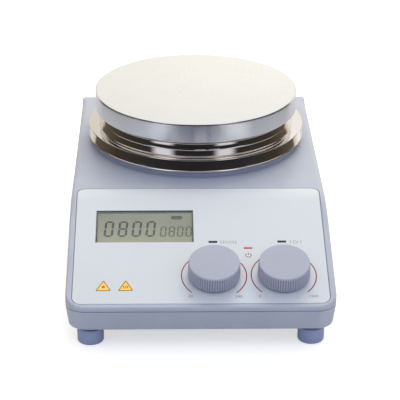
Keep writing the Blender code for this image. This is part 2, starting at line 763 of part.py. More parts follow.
def screw_shape(head_bottom, tip):
    """A pan-head screw pointing up, with a socket in its head."""
    head_top = head_bottom + SCREW_HEAD_HEIGHT
    profile = [
        (0, head_bottom + SOCKET_DEPTH),
        (SOCKET_RADIUS, head_bottom + SOCKET_DEPTH),
        (SOCKET_RADIUS, head_bottom),
        (SCREW_HEAD_RADIUS, head_bottom),
        (SCREW_HEAD_RADIUS, head_top),
        (SCREW_RADIUS, head_top),
        (SCREW_RADIUS, tip),
        (0, tip),
    ]
    return turned(profile, SCREW_ROUND)


# ---------------------------------------------------------------- knobs


def knob_outline():
    """The ribbed outline of a knob's side."""
    points = []
    for i in range(KNOB_RIBS * 2):
        radius = KNOB_RADIUS - (i % 2) * RIB_DEPTH
        angle = math.pi * i / KNOB_RIBS
        points.append((radius * math.cos(angle), radius * math.sin(angle)))
    return points


def build_knob(name, mats):
    """One knob with its shaft and encoder, all in the panel's tilted frame."""
    frame = slope_frame(f"{name}_knob_axis", *KNOB_PLACES[name])
    bm = prism(knob_outline(), KNOB_BOTTOM, KNOB_TOP)
    knob = add_object(f"{name}_knob", bm, mats["knob"], parent=frame)
    low = KNOB_BOTTOM - OVERCUT
    hollow = ring(HUB_RADIUS, KNOB_HOLLOW_RADIUS, low, KNOB_TOP - KNOB_FACE, MEDIUM_ROUND)
    combine(knob, add_cutter(f"{name}_knob_hollow", hollow, parent=frame))
    hub_bottom = BUSH_TOP + KNOB_TRAVEL + GAP
    trim = disc(HUB_RADIUS + OVERCUT, low, hub_bottom, MEDIUM_ROUND)
    combine(knob, add_cutter(f"{name}_knob_hub_trim", trim, parent=frame))
    bore = disc(KNOB_SHAFT_RADIUS + GAP, 0, KNOB_TOP - KNOB_CROWN, SMALL_ROUND)
    combine(knob, add_cutter(f"{name}_knob_bore", bore, parent=frame))
    shaft = disc(KNOB_SHAFT_RADIUS, SHAFT_BOTTOM, KNOB_TOP - KNOB_CROWN - GAP, SMALL_ROUND)
    add_object(f"{name}_knob_shaft", shaft, mats["steel"], parent=frame)
    build_encoder(name, mats, frame)


def build_encoder(name, mats, frame):
    """The encoder under a knob, its panel nut and its push plunger."""
    middle = (ENCODER_TOP + ENCODER_BOTTOM) / 2
    body = block((ENCODER_SIZE, ENCODER_SIZE, ENCODER_TOP - ENCODER_BOTTOM), (0, 0, middle))
    encoder = add_object(f"{name}_encoder", body, mats["dark"], parent=frame)
    bush = disc(BUSH_RADIUS, middle, BUSH_TOP, MEDIUM_ROUND)
    combine(encoder, add_cutter(f"{name}_bush", bush, parent=frame), "UNION")
    bore = KNOB_SHAFT_RADIUS + GAP
    through = disc(bore, ENCODER_BOTTOM - OVERCUT, BUSH_TOP + OVERCUT, SMALL_ROUND)
    combine(encoder, add_cutter(f"{name}_encoder_bore", through, parent=frame))
    nut = prism(regular_outline(NUT_RADIUS, 6), GAP - RECESS_DEPTH, NUT_TOP)
    nut = add_object(f"{name}_encoder_nut", nut, mats["steel"], parent=frame)
    thread = disc(BUSH_RADIUS + GAP, -CUT_DEPTH / 2, CUT_DEPTH / 2, MEDIUM_ROUND)
    combine(nut, add_cutter(f"{name}_nut_bore", thread, parent=frame))
    top = SHAFT_BOTTOM - GAP
    plunger = disc(KNOB_SHAFT_RADIUS, top - PLUNGER_HEIGHT, top, SMALL_ROUND)
    add_object(f"{name}_press_plunger", plunger, mats["copper"], parent=frame)


# ---------------------------------------------------------------- hot plate stack


def round_place(radius, angle):
    """(x, y) at a radius and an angle in degrees about the plate's axis."""
    a = math.radians(angle)
    return radius * math.cos(a), PLATE_Y + radius * math.sin(a)


def post_places():
    """(x, y) of each plate post."""
    for angle in POST_ANGLES:
        yield round_place(POST_CIRCLE, angle)


def cut_stack_holes(target, stud, sensor=True, leads=True):
    """Cut the holes for the posts or their studs, the sensor and the leads."""
    low = BRACKET_Z - OVERCUT
    for number, (x, y) in enumerate(post_places(), 1):
        hole = disc(stud, low, PLATE_TOP - STUD_SKIN, SMALL_ROUND)
        combine(target, add_cutter(f"{target.name}_post_{number}", hole, (x, y, 0)))
    if sensor:
        hole = disc(SENSOR_RADIUS + SENSOR_GAP, SHIELD_Z - OVERCUT, PLATE_TOP - SENSOR_SKIN, SMALL_ROUND)
        combine(target, add_cutter(f"{target.name}_sensor", hole, (*round_place(*SENSOR_PLACE), 0)))
    if leads:
        hole = disc(LEAD_HOLE, low, INSULATION_TOP, SMALL_ROUND)
        combine(target, add_cutter(f"{target.name}_leads", hole, (*round_place(*LEAD_PLACE), 0)))


def build_hot_plate(mats):
    """The round plate, recessed below for its heater."""
    recess_top = PLATE_TOP - PLATE_SKIN
    profile = [
        (0, recess_top),
        (PLATE_RECESS_RADIUS, recess_top),
        (PLATE_RECESS_RADIUS, PLATE_BOTTOM),
        (PLATE_RADIUS - PLATE_LOW_EDGE, PLATE_BOTTOM),
        (PLATE_RADIUS, PLATE_BOTTOM + PLATE_LOW_EDGE),
        (PLATE_RADIUS, PLATE_TOP - PLATE_HIGH_EDGE),
        (PLATE_RADIUS - PLATE_HIGH_EDGE, PLATE_TOP),
        (0, PLATE_TOP),
    ]
    plate = add_object("hot_plate", turned(profile, PLATE_ROUND), mats["ceramic"], PLATE_AXIS)
    cut_stack_holes(plate, SCREW_HOLE, leads=False)


def build_heater(mats):
    """Heating element, insulation, clamp plate and heat shield, one above the other."""
    layers = (
        ("heating_element", ELEMENT_BORE, INSULATION_RADIUS, ELEMENT_Z, ELEMENT_TOP, "mica"),
        ("insulation_disc", 0, INSULATION_RADIUS, INSULATION_Z, INSULATION_TOP, "fibre"),
        ("heater_clamp_plate", 0, CLAMP_RADIUS, CLAMP_Z, CLAMP_TOP, "steel"),
        ("heat_shield", 0, SHIELD_RADIUS, SHIELD_Z, SHIELD_Z + SHEET, "aluminium"),
    )
    for name, inner, outer, bottom, top, mat in layers:
        bm = ring(inner, outer, bottom, top) if inner else disc(outer, bottom, top)
        obj = add_object(name, bm, mats[mat], PLATE_AXIS)
        stud = POST_RADIUS + GAP if name == "heat_shield" else SCREW_HOLE
        cut_stack_holes(obj, stud, leads=name != "heating_element")


def build_posts(mats):
    """Three posts that carry the plate on the motor bracket, and the screws that hold them."""
    bottom = BRACKET_Z + BRACKET_THICKNESS + GAP
    shoulder = CLAMP_Z - GAP
    tip = PLATE_TOP - STUD_SKIN - STUD_CLEARANCE
    profile = [
        (0, bottom + POST_HOLE_DEPTH),
        (SCREW_HOLE, bottom + POST_HOLE_DEPTH),
        (SCREW_HOLE, bottom),
        (POST_RADIUS, bottom),
        (POST_RADIUS, shoulder),
        (STUD_RADIUS, shoulder),
        (STUD_RADIUS, tip),
        (0, tip),
    ]
    post = None
    screw = None
    for number, (x, y) in enumerate(post_places(), 1):
        if post is None:
            post = add_object("plate_post_1", turned(profile, SMALL_ROUND), mats["steel"], (x, y, 0))
            shape = screw_shape(CASE_BOTTOM + POST_SCREW_INSET, bottom + POST_SCREW_REACH)
            screw = add_object("post_screw_1", shape, mats["steel"], (x, y, 0))
        else:
            add_copy(f"plate_post_{number}", post, (x, y, 0))
            add_copy(f"post_screw_{number}", screw, (x, y, 0))


def build_pan(mats):
    """The polished pan: skirt, flange and neck from one sheet, resting on the collar."""
    under = PAN_FLANGE - SHEET
    neck = PAN_NECK_RADIUS
    profile = [
        (PAN_RADIUS - SHEET, PAN_BOTTOM),
        (PAN_RADIUS, PAN_BOTTOM),
        (PAN_RADIUS, PAN_FLANGE - PAN_EDGE),
        (PAN_RADIUS - PAN_EDGE, PAN_FLANGE),
        (neck + PAN_TAPER, PAN_FLANGE),
        (neck + PAN_TAPER, PAN_WAIST),
        (neck, PAN_TOP),
        (neck - SHEET, PAN_TOP),
        (neck - SHEET, under),
        (PAN_RADIUS - SHEET, under),
    ]
    add_object("plate_pan", turned(profile, PLATE_ROUND), mats["stainless"], PLATE_AXIS)


def build_sensors(mats):
    """The plate's temperature sensor and the safety thermostat."""
    sensor = disc(SENSOR_RADIUS, SHIELD_Z - SENSOR_TAIL, PLATE_TOP - SENSOR_SKIN - SENSOR_GAP, SMALL_ROUND)
    add_object("plate_sensor", sensor, mats["stainless"], (*round_place(*SENSOR_PLACE), 0))
    top = SHIELD_Z - GAP
    profile = [
        (0, top - THERMOSTAT_HEIGHT),
        (THERMOSTAT_NECK, top - THERMOSTAT_HEIGHT),
        (THERMOSTAT_NECK, top - THERMOSTAT_CAP),
        (THERMOSTAT_RADIUS, top - THERMOSTAT_CAP),
        (THERMOSTAT_RADIUS, top),
        (0, top),
    ]
    place = (*round_place(*THERMOSTAT_PLACE), 0)
    add_object("safety_thermostat", turned(profile, MEDIUM_ROUND), mats["aluminium"], place)


# ---------------------------------------------------------------- motor and magnets


def build_motor(mats):
    """Bracket, can, stator and bearings, which stay still."""
    low = BRACKET_Z
    high = BRACKET_Z + BRACKET_THICKNESS
    seat = BEARING_RADIUS + GAP
    profile = [
        (seat, low),
        (BRACKET_RADIUS, low),
        (BRACKET_RADIUS, high),
        (BEARING_CUP_RADIUS, high),
        (BEARING_CUP_RADIUS, high + BEARING_CUP_HEIGHT),
        (seat, high + BEARING_CUP_HEIGHT),
    ]
    bracket = add_object("motor_bracket", turned(profile), mats["steel"], PLATE_AXIS)
    for number, (x, y) in enumerate(post_places(), 1):
        hole = disc(SCREW_HOLE, low - OVERCUT, high + OVERCUT, SMALL_ROUND)
        combine(bracket, add_cutter(f"bracket_hole_{number}", hole, (x, y, 0)))
    foot = high + GAP
    can = [
        (MOTOR_RADIUS - CAN_WALL, foot),
        (MOTOR_RADIUS, foot),
        (MOTOR_RADIUS, MOTOR_TOP - CAN_EDGE),
        (MOTOR_RADIUS - CAN_EDGE, MOTOR_TOP),
        (seat, MOTOR_TOP),
        (seat, MOTOR_TOP - CAN_LID),
        (MOTOR_RADIUS - CAN_WALL, MOTOR_TOP - CAN_LID),
    ]
    add_object("motor_housing", turned(can, ROUND), mats["aluminium"], PLATE_AXIS)
    stator_radius = MOTOR_RADIUS - CAN_WALL - GAP
    stator = ring(STATOR_BORE, stator_radius, STATOR_Z, STATOR_Z + STATOR_HEIGHT)
    add_object("motor_stator", stator, mats["copper"], PLATE_AXIS)
    bore = MOTOR_SHAFT_RADIUS + GAP
    bearings = {"upper_bearing": MOTOR_TOP - UPPER_BEARING_DROP, "lower_bearing": low + LOWER_BEARING_RISE}
    for name, bottom in bearings.items():
        bearing = ring(bore, BEARING_RADIUS, bottom, bottom + BEARING_HEIGHT, MEDIUM_ROUND)
        add_object(name, bearing, mats["steel"], PLATE_AXIS)


def build_rotor(mats):
    """Shaft, rotor core, magnet carrier and the two drive magnets, which spin together."""
    axis = add_frame("rotor_axis", PLATE_AXIS, (0, 0, 0))
    shaft = disc(MOTOR_SHAFT_RADIUS, MOTOR_SHAFT_Z, CARRIER_Z + MOTOR_SHAFT_REACH, MEDIUM_ROUND)
    add_object("motor_shaft", shaft, mats["steel"], parent=axis)
    bore = MOTOR_SHAFT_RADIUS + GAP
    core = ring(bore, ROTOR_RADIUS, ROTOR_Z, ROTOR_Z + ROTOR_HEIGHT)
    add_object("motor_rotor", core, mats["magnet"], parent=axis)
    deck = CARRIER_Z + CARRIER_THICKNESS
    hub = [
        (bore, CARRIER_Z - CARRIER_HUB_DROP),
        (CARRIER_HUB_RADIUS, CARRIER_Z - CARRIER_HUB_DROP),
        (CARRIER_HUB_RADIUS, CARRIER_Z),
        (CARRIER_RADIUS, CARRIER_Z),
        (CARRIER_RADIUS, deck),
        (bore, deck),
    ]
    add_object("magnet_carrier", turned(hub, ROUND), mats["aluminium"], parent=axis)
    low = deck + GAP
    for number, x in ((1, -MAGNET_OFFSET), (2, MAGNET_OFFSET)):
        magnet = disc(MAGNET_RADIUS, low, low + MAGNET_HEIGHT, MEDIUM_ROUND, (x, 0))
        add_object(f"drive_magnet_{number}", magnet, mats["magnet"], parent=axis)


# ---------------------------------------------------------------- electronics and rear fittings


def build_electronics(mats):
    """Boards, power module, heat sink and cables."""
    frame = slope_frame("display_board_frame", 0, DISPLAY_BOARD_U)
    middle = BOARD_TOP - BOARD_THICKNESS / 2
    board = block((*DISPLAY_BOARD_SIZE, BOARD_THICKNESS), (0, 0, middle))
    add_object("display_board", board, mats["board"], parent=frame)
    middle = (0, CONTROL_BOARD_Y, CONTROL_BOARD_Z + BOARD_THICKNESS / 2)
    board = block((*CONTROL_BOARD_SIZE, BOARD_THICKNESS), middle)
    add_object("control_board", board, mats["board"])
    width, depth, height = POWER_MODULE_SIZE
    middle = (POWER_MODULE_X, DECK_Y, DECK + height / 2)
    module = block((width, depth, height), middle, POWER_MODULE_EDGE, 1)
    add_object("power_module", module, mats["dark"])
    sink = side_prism(heat_sink_outline(), HEAT_SINK_LEFT, HEAT_SINK_RIGHT)
    add_object("heat_sink", sink, mats["aluminium"], (0, DECK_Y, DECK))
    build_ribbon(mats)
    x, y = round_place(*LEAD_PLACE)
    path = [(x, y - back, z) for back, z in CABLE_PATH]
    add_object("heater_cable", swept(path, CABLE_RADIUS), mats["cable"])


def heat_sink_outline():
    """(y, z) outline of the finned heat sink."""
    half = FIN_COUNT * FIN_PITCH / 2 - (FIN_PITCH - FIN_WIDTH) / 2
    outline = [(-half, 0), (half, 0)]
    for fin in range(FIN_COUNT):
        right = half - fin * FIN_PITCH
        outline += [(right, FIN_TOP), (right - FIN_WIDTH, FIN_TOP)]
        if fin < FIN_COUNT - 1:
            outline += [(right - FIN_WIDTH, FIN_ROOT), (right - FIN_PITCH, FIN_ROOT)]
    return outline


def build_ribbon(mats):
    """A flat cable from the display board down to the control board."""
    y, z = skin_point(RIBBON_U, BOARD_TOP - BOARD_THICKNESS - GAP)
    knee = y - RIBBON_LEAN
    end = y - RIBBON_RUN
    low = DECK
    thick = RIBBON_THICKNESS
    outline = [
        (y, z),
        (knee, z - RIBBON_DROP),
        (end, (z + low) / 2),
        (end, low),
        (end + thick, low),
        (end + thick, (z + low) / 2 + GAP),
        (knee + thick, z - RIBBON_DROP),
        (y + thick, z + thick * math.tan(SLOPE)),
    ]
    ribbon = side_prism(outline, -RIBBON_WIDTH / 2, RIBBON_WIDTH / 2)
    add_object("ribbon_cable", ribbon, mats["cable"])


def build_rear_fittings(mats):
    """Power inlet, rocker switch and probe socket in the rear wall."""
    face = REAR + GAP
    reach = FITTING_REACH - GAP
    width, height = INLET_FLANGE
    flange = block((width, reach, height), (INLET_X, face + reach / 2, REAR_Z), FLANGE_EDGE, 1)
    inlet = add_object("power_inlet", flange, mats["dark"])
    sink_in(inlet, "inlet_body", INLET_BODY, face, INLET_X, "UNION")
    sink_in(inlet, "inlet_cavity", INLET_CAVITY, face, INLET_X, "DIFFERENCE")
    for number, (dx, dz) in enumerate(BLADE_PLACES, 1):
        blade = block(BLADE_SIZE, (INLET_X + dx, face - BLADE_DEPTH, REAR_Z + dz))
        combine(inlet, add_cutter(f"inlet_blade_{number}", blade), "UNION")
    width, height = SWITCH_FLANGE
    centre = (SWITCH_X, face + SWITCH_REACH / 2, REAR_Z)
    switch = block((width, SWITCH_REACH, height), centre, FLANGE_EDGE, 1)
    frame = add_object("power_switch_frame", switch, mats["dark"])
    sink_in(frame, "switch_body", SWITCH_BODY, face, SWITCH_X, "UNION")
    sink_in(frame, "switch_well", SWITCH_WELL, face, SWITCH_X, "DIFFERENCE")
    build_rocker(mats, face)
    build_probe_socket(mats, face)


def sink_in(target, name, shape, face, x, operation):
    """Join or cut a block that reaches from in front of the rear wall into the case."""
    width, height, out, deep = shape
    centre = (x, face + (out - deep) / 2, REAR_Z)
    combine(target, add_cutter(name, block((width, out + deep, height), centre)), operation)


def build_rocker(mats, face):
    """The rocker: two flats that meet in a shallow valley, turning inside its well."""
    axis = add_frame("rocker_axis", (SWITCH_X, face - ROCKER_DEPTH, REAR_Z), (0, 0, 0))
    bm = side_prism(rocker_outline(), -ROCKER_WIDTH / 2, ROCKER_WIDTH / 2)
    bmesh.ops.rotate(bm, matrix=Matrix.Rotation(ROCKER_TILT, 3, "X"), verts=bm.verts)
    add_object("power_switch_rocker", bm, mats["red"], parent=axis)


def rocker_outline():
    """(y, z) outline of the rocker about its pivot, y pointing out of the wall."""
    tips = [math.radians(a) for a in ROCKER_TIPS]
    points = [(ROCKER_VALLEY, 0)]
    points += [(ROCKER_REACH * math.sin(a), ROCKER_REACH * math.cos(a)) for a in tips]
    points.append((-ROCKER_BELLY, 0))
    points += [(ROCKER_REACH * math.sin(a), -ROCKER_REACH * math.cos(a)) for a in reversed(tips)]
    return points


def build_probe_socket(mats, face):
    """The round socket for an external temperature probe."""
    profile = [
        (0, -PROBE_BODY_DEPTH),
        (PROBE_BODY_RADIUS, -PROBE_BODY_DEPTH),
        (PROBE_BODY_RADIUS, 0),
        (PROBE_FLANGE_RADIUS, 0),
        (PROBE_FLANGE_RADIUS, PROBE_REACH),
        (PROBE_BORE, PROBE_REACH),
        (PROBE_BORE, -PROBE_BORE_DEPTH),
        (0, -PROBE_BORE_DEPTH),
    ]
    place = (PROBE_X, face, REAR_Z)
    socket = turned(profile, MEDIUM_ROUND)
    add_object("probe_socket", socket, mats["dark"], place, (-math.pi / 2, 0, 0))


def main():
    """Build every piece."""
    clear_scene()
    mats = make_materials()
    build_top_housing(mats)
    build_base_cover(mats)
    build_control_panel(mats)
    build_indicators(mats)
    build_feet(mats)
    for name in KNOB_PLACES:
        build_knob(name, mats)
    build_hot_plate(mats)
    build_heater(mats)
    build_posts(mats)
    build_pan(mats)
    build_sensors(mats)
    build_motor(mats)
    build_rotor(mats)
    build_electronics(mats)
    build_rear_fittings(mats)


main()
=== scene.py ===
"""Looks of the hot plate magnetic stirrer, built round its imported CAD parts.

Metres, +Z up, in the CAD's frame: X runs to the right, Y to the back, and the front faces -Y. Places and
outer sizes come from the frame; the constants below add only the fine shape that the CAD leaves plain.
Fine profiles are written as steps in mm from a corner that the frame gives.
"""

import json
import math

import bmesh
import bpy
from mathutils import Matrix, Vector


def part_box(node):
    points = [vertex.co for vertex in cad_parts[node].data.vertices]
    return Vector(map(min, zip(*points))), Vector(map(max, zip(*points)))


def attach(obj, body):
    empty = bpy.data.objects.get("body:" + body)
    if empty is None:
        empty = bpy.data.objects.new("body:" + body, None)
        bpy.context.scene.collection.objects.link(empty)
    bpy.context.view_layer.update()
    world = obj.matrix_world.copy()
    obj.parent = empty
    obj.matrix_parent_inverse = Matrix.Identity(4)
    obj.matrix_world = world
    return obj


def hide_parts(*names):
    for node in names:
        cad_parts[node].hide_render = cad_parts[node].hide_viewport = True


MM = 0.001

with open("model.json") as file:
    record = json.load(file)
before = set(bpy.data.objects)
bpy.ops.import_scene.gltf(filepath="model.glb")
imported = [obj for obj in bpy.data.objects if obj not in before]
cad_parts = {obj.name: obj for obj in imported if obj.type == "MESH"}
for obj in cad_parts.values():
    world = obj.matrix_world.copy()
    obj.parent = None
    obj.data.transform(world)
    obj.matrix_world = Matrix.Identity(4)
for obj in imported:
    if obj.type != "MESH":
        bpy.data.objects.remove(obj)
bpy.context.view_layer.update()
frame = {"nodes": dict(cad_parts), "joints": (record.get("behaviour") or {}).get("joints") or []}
JOINTS = {joint["name"]: joint for joint in frame["joints"]}


def middle(node):
    """Centre of a CAD node's box."""
    low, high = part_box(node)
    return (low + high) / 2


def extent(node):
    """Size of a CAD node's box."""
    low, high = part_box(node)
    return high - low


# -------- sizes read from the frame

HOUSING_LOW, HOUSING_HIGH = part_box("top_housing")
BASE_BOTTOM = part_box("base_cover")[0].z
PANEL_LOW, PANEL_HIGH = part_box("control_panel")
PLATE_LOW, PLATE_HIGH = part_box("hot_plate")
PAN_LOW, PAN_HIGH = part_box("plate_pan")
HALF_WIDTH = HOUSING_HIGH.x
FRONT = HOUSING_LOW.y
REAR = HOUSING_HIGH.y
SEAM = HOUSING_LOW.z
PANEL_DROP = 0.1 * MM
CASE_TOP = PANEL_HIGH.z + PANEL_DROP
PLATE_AXIS = Vector((0, (PLATE_LOW.y + PLATE_HIGH.y) / 2, 0))
FOOT_SPOTS = {
    f"{end}_{side}": middle(f"foot_{end}_{side}") for end in ("front", "rear") for side in ("left", "right")
}
POST_SPOTS = [middle(f"plate_post_{number}") for number in (1, 2, 3)]

# The push axis of a knob points into the panel, and its turning axis starts on the panel's skin
PUSH_AXIS = JOINTS["heat_knob_press"]["axis"]
SLOPE = math.atan2(PUSH_AXIS[1], -PUSH_AXIS[2])
ACROSS = math.cos(SLOPE)
RISE = math.sin(SLOPE)
KNOB_SPOTS = {name: JOINTS[f"{name}_knob_turn"]["pos_m"] for name in ("heat", "stir")}
BREAK_Y = KNOB_SPOTS["heat"][1] + (CASE_TOP - KNOB_SPOTS["heat"][2]) / math.tan(SLOPE)

# -------- fine shape of the case

BEND_RADIUS = 36 * MM
BEND_TANGENT = BEND_RADIUS * math.tan(SLOPE / 2)
FRONT_CORNER = 12 * MM
REAR_CORNER = 2.2 * MM
FRONT_EDGE = 1.4 * MM
TOP_EDGE = 4.0 * MM
REAR_EDGE = 1.2 * MM
REAR_BLEND = 14 * MM
INNER_EDGE = 0.6 * MM
WALL = 2.5 * MM
CEILING_SHARE = 1.06      # of the wall's thickness, measured straight down under the slope
SEAM_EDGE = 0.15 * MM
SEAM_GAP = 0.3 * MM
EDGE_STEPS = 7

BASE_WALL = 3.9 * MM
LIP_RISE = 0.2 * MM       # how far the base's locating lip stands above the seam
BASE_DRAFT = 1.5 * MM
BASE_EDGE = 1.5 * MM
EDGE_TURN = 84            # degrees; the base's lower edge stops short of upright, for the draft

PANEL_THICKNESS = 0.7 * MM
PANEL_CORNER = 5.5 * MM
GROOVE = 0.35 * MM
GROOVE_MOUTH = 0.3 * MM
RECESS_DEPTH = 1.1 * MM

COLLAR_RADIUS = 68 * MM
COLLAR_BORE = 64.4 * MM
COLLAR_COVE = 1.5 * MM
COLLAR_LIP = 1.2 * MM

SCREW_HOLE = 2 * MM
FOOT_BOSS = 4.5 * MM      # in the housing
FOOT_WELL = 5 * MM        # in the base
POST_BOSS = 6 * MM
HEAD_HOLE = 4.2 * MM
HEAD_DEPTH = 3.4 * MM
PROBE_HOLE = 6.3 * MM
SHAFT_HOLE = 3.8 * MM     # in the housing
NUT_HOLE = 7 * MM         # in the panel
LIGHT_GAP = 0.3 * MM
THROUGH = 12 * MM         # depth of a cutter that goes through a wall

VENT_COUNT = 6
VENT_PITCH = 8 * MM
VENT_SIZE = (52 * MM, 3 * MM, 1.45 * MM)

FINE_ROUND = 160
INK = 0.04 * MM


# -------- places on the case


def skin_point(u, lift=0.0):
    """(y, z) of the case's skin, u down the slope from the line where top and slope would meet."""
    if u <= -BEND_TANGENT:
        return BREAK_Y - u, CASE_TOP + lift
    angle = SLOPE * min(1.0, (u + BEND_TANGENT) / (2 * BEND_TANGENT))
    radius = BEND_RADIUS + lift
    y = BREAK_Y + BEND_TANGENT - radius * math.sin(angle)
    z = CASE_TOP - BEND_RADIUS + radius * math.cos(angle)
    rest = max(0.0, u - BEND_TANGENT)
    return y - rest * ACROSS, z - rest * RISE


def skin_height(y):
    """Height of the case's skin over a place y."""
    back = BREAK_Y + BEND_TANGENT
    if y >= back:
        return CASE_TOP
    if y > back - BEND_RADIUS * RISE:
        return CASE_TOP - BEND_RADIUS + math.sqrt(BEND_RADIUS**2 - (back - y) ** 2)
    return CASE_TOP - (BREAK_Y - y) * math.tan(SLOPE)


def panel_place(point):
    """(x, u) of a world point near the slope."""
    dy = point[1] - BREAK_Y
    dz = point[2] - CASE_TOP
    return point[0], -(dy * ACROSS + dz * RISE)


def panel_matrix(x, u, lift=-PANEL_DROP):
    """A frame on the slope: X right, Y up the slope, Z out of the panel."""
    y, z = skin_point(u, lift)
    return Matrix.Translation((x, y, z)) @ Matrix.Rotation(SLOPE, 4, "X")


# Turns a frame to the rear wall: X right as seen from behind, Y up, Z out of the wall
WALL_TURN = Matrix.Rotation(math.pi, 4, "Z") @ Matrix.Rotation(math.pi / 2, 4, "X")


def at(place):
    """Straight above a place on the ground."""
    return Matrix.Translation((place[0], place[1], 0))


def bend_stations(count=14):
    """Values of u that round the bend."""
    return [BEND_TANGENT * (2 * i / count - 1) for i in range(count + 1)]


def smoothstep(value, low, high):
    """0 below low, 1 above high, and smooth between."""
    t = min(1.0, max(0.0, (value - low) / (high - low)))
    return t * t * (3 - 2 * t)


# -------- outlines and solids


def near(first, second, *steps):
    """Points of an outline, each a step in mm from one corner."""
    return [(first + a * MM, second + b * MM) for a, b in steps]


def circle(radius, sides):
    """Points round a circle."""
    turns = [2 * math.pi * i / sides for i in range(sides)]
    return [(radius * math.cos(a), radius * math.sin(a)) for a in turns]


def arc(cx, cy, radius, first, last, steps):
    """Points along an arc, its angles in degrees."""
    turns = [math.radians(first + (last - first) * i / steps) for i in range(steps + 1)]
    return [(cx + radius * math.cos(a), cy + radius * math.sin(a)) for a in turns]


def bridge(bm, low, high):
    """Join two closed loops of vertices by quads."""
    for i in range(len(low)):
        j = (i + 1) % len(low)
        bm.faces.new((low[i], low[j], high[j], high[i]))


def turned(profile, segments=FINE_ROUND):
    """Spin a (radius, height) outline about the Z axis: closed, or capped where it meets the axis."""
    bm = bmesh.new()
    rings = [
        [bm.verts.new((x, y, z)) for x, y in circle(radius, segments)] for radius, z in profile if radius
    ]
    pairs = list(zip(rings, rings[1:]))
    if profile[0][0] == 0:
        bm.faces.new(rings[0])
        bm.faces.new(rings[-1])
    else:
        pairs.append((rings[-1], rings[0]))
    for low, high in pairs:
        bridge(bm, low, high)
    return bm


def drum(radius, bottom, top, sides=48):
    """A plain cylinder about the Z axis."""
    return turned([(0, bottom), (radius, bottom), (radius, top), (0, top)], sides)


def stacked(loops):
    """Join closed, left-right symmetric loops of points, and close both ends by strips between the sides."""
    bm = bmesh.new()
    rings = [[bm.verts.new(p) for p in loop] for loop in loops]
    for low, high in zip(rings, rings[1:]):
        bridge(bm, low, high)
    for ring in (rings[0], rings[-1]):
        half = len(ring) // 2
        for i in range(half - 1):
            bm.faces.new((ring[i], ring[i + 1], ring[-i - 2], ring[-i - 1]))
    return bm


def rounded_half(half, start, end, corners, stations, steps=8):
    """Right half of a rounded rectangle as (x, t, normal x, normal t), t running from start to end."""
    first, last = corners
    turns = [math.pi / 2 * i / steps for i in range(steps + 1)]
    waves = [(math.sin(a), math.cos(a)) for a in turns]
    points = [(half - first * (1 - s), start + first * (1 - c), s, -c) for s, c in waves]
    points += [(half, t, 1.0, 0.0) for t in sorted(stations) if start + first < t < end - last]
    return points + [(half - last * (1 - c), end - last * (1 - s), c, s) for s, c in waves]


def mirrored(right):
    """A closed loop from its right half."""
    return right + [(-x, y, z) for x, y, z in reversed(right)]


def box_shape(size, centre=(0, 0, 0)):
    """A plain block."""
    bm = bmesh.new()
    bmesh.ops.create_cube(bm, size=1)
    bmesh.ops.scale(bm, vec=size, verts=bm.verts)
    bmesh.ops.translate(bm, vec=centre, verts=bm.verts)
    return bm


def rounded_slab(width, height, corner, layers, steps=6):
    """A rounded rectangle stacked in layers of (inset, z)."""
    loops = []
    for inset, z in layers:
        corners = (corner - inset, corner - inset)
        half = rounded_half(width / 2 - inset, inset - height / 2, height / 2 - inset, corners, (), steps)
        loops.append(mirrored([(x, t, z) for x, t, _, _ in half]))
    return stacked(loops)


def edge_layers(bottom, top, edge, steps=3):
    """Layers of a slab whose top edge is rounded."""
    turns = [math.pi / 2 * i / steps for i in range(steps + 1)]
    return [(0, bottom)] + [(edge * (1 - math.cos(a)), top - edge * (1 - math.sin(a))) for a in turns]


def add_polygon(bm, points, bottom=0.0, top=INK):
    """Extrude one flat outline."""
    face = bm.faces.new([bm.verts.new((x, y, bottom)) for x, y in points])
    grown = bmesh.ops.extrude_face_region(bm, geom=[face])
    moved = [v for v in grown["geom"] if isinstance(v, bmesh.types.BMVert)]
    bmesh.ops.translate(bm, vec=(0, 0, top - bottom), verts=moved)


def add_stroke(bm, points, width, closed=False):
    """A flat line of even width along a path."""
    path = [Vector(p) for p in points]
    count = len(path)
    rings = []
    for i, point in enumerate(path):
        before = path[i - 1] if closed or i else point
        after = path[(i + 1) % count] if closed or i < count - 1 else point
        along = (after - before).normalized()
        side = Vector((-along.y, along.x)) * width / 2
        low, high = point - side, point + side
        corners = ((*low, 0), (*high, 0), (*high, INK), (*low, INK))
        rings.append([bm.verts.new(c) for c in corners])
    for low, high in zip(rings, rings[1:]):
        bridge(bm, low, high)
    if closed:
        bridge(bm, rings[-1], rings[0])
    else:
        bm.faces.new(rings[0])
        bm.faces.new(rings[-1])


# -------- objects


def link(name, data):
    """Add an object that holds some data."""
    obj = bpy.data.objects.new(name, data)
    bpy.context.scene.collection.objects.link(obj)
    return obj


def as_mesh(name, bm, matrix=None):
    """Turn a bmesh into a mesh with its faces outward."""
    bmesh.ops.recalc_face_normals(bm, faces=bm.faces)
    mesh = bpy.data.meshes.new(name)
    bm.to_mesh(mesh)
    bm.free()
    if matrix is not None:
        mesh.transform(matrix)
    return mesh


def smooth(mesh, angle=32):
    """Shade a mesh smooth, with creases kept sharp."""
    mesh.shade_smooth()
    mesh.set_sharp_from_angle(angle=math.radians(angle))


def add_piece(name, bm, finish, matrix=None, stands_for=None, body="case"):
    """Turn a bmesh into a piece that rides on a body, and may stand for a CAD node."""
    mesh = as_mesh(name, bm, matrix)
    smooth(mesh)
    mesh.materials.append(MATERIALS[finish])
    obj = link(name, mesh)
    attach(obj, body)
    if stands_for:
        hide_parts(stands_for)
    return obj


def cut(bm, matrix=None):
    """A step for carve that takes a solid away."""
    return "DIFFERENCE", link("cutter", as_mesh("cutter", bm, matrix))


def join(bm, matrix=None):
    """A step for carve that adds a solid."""
    return "UNION", link("cutter", as_mesh("cutter", bm, matrix))


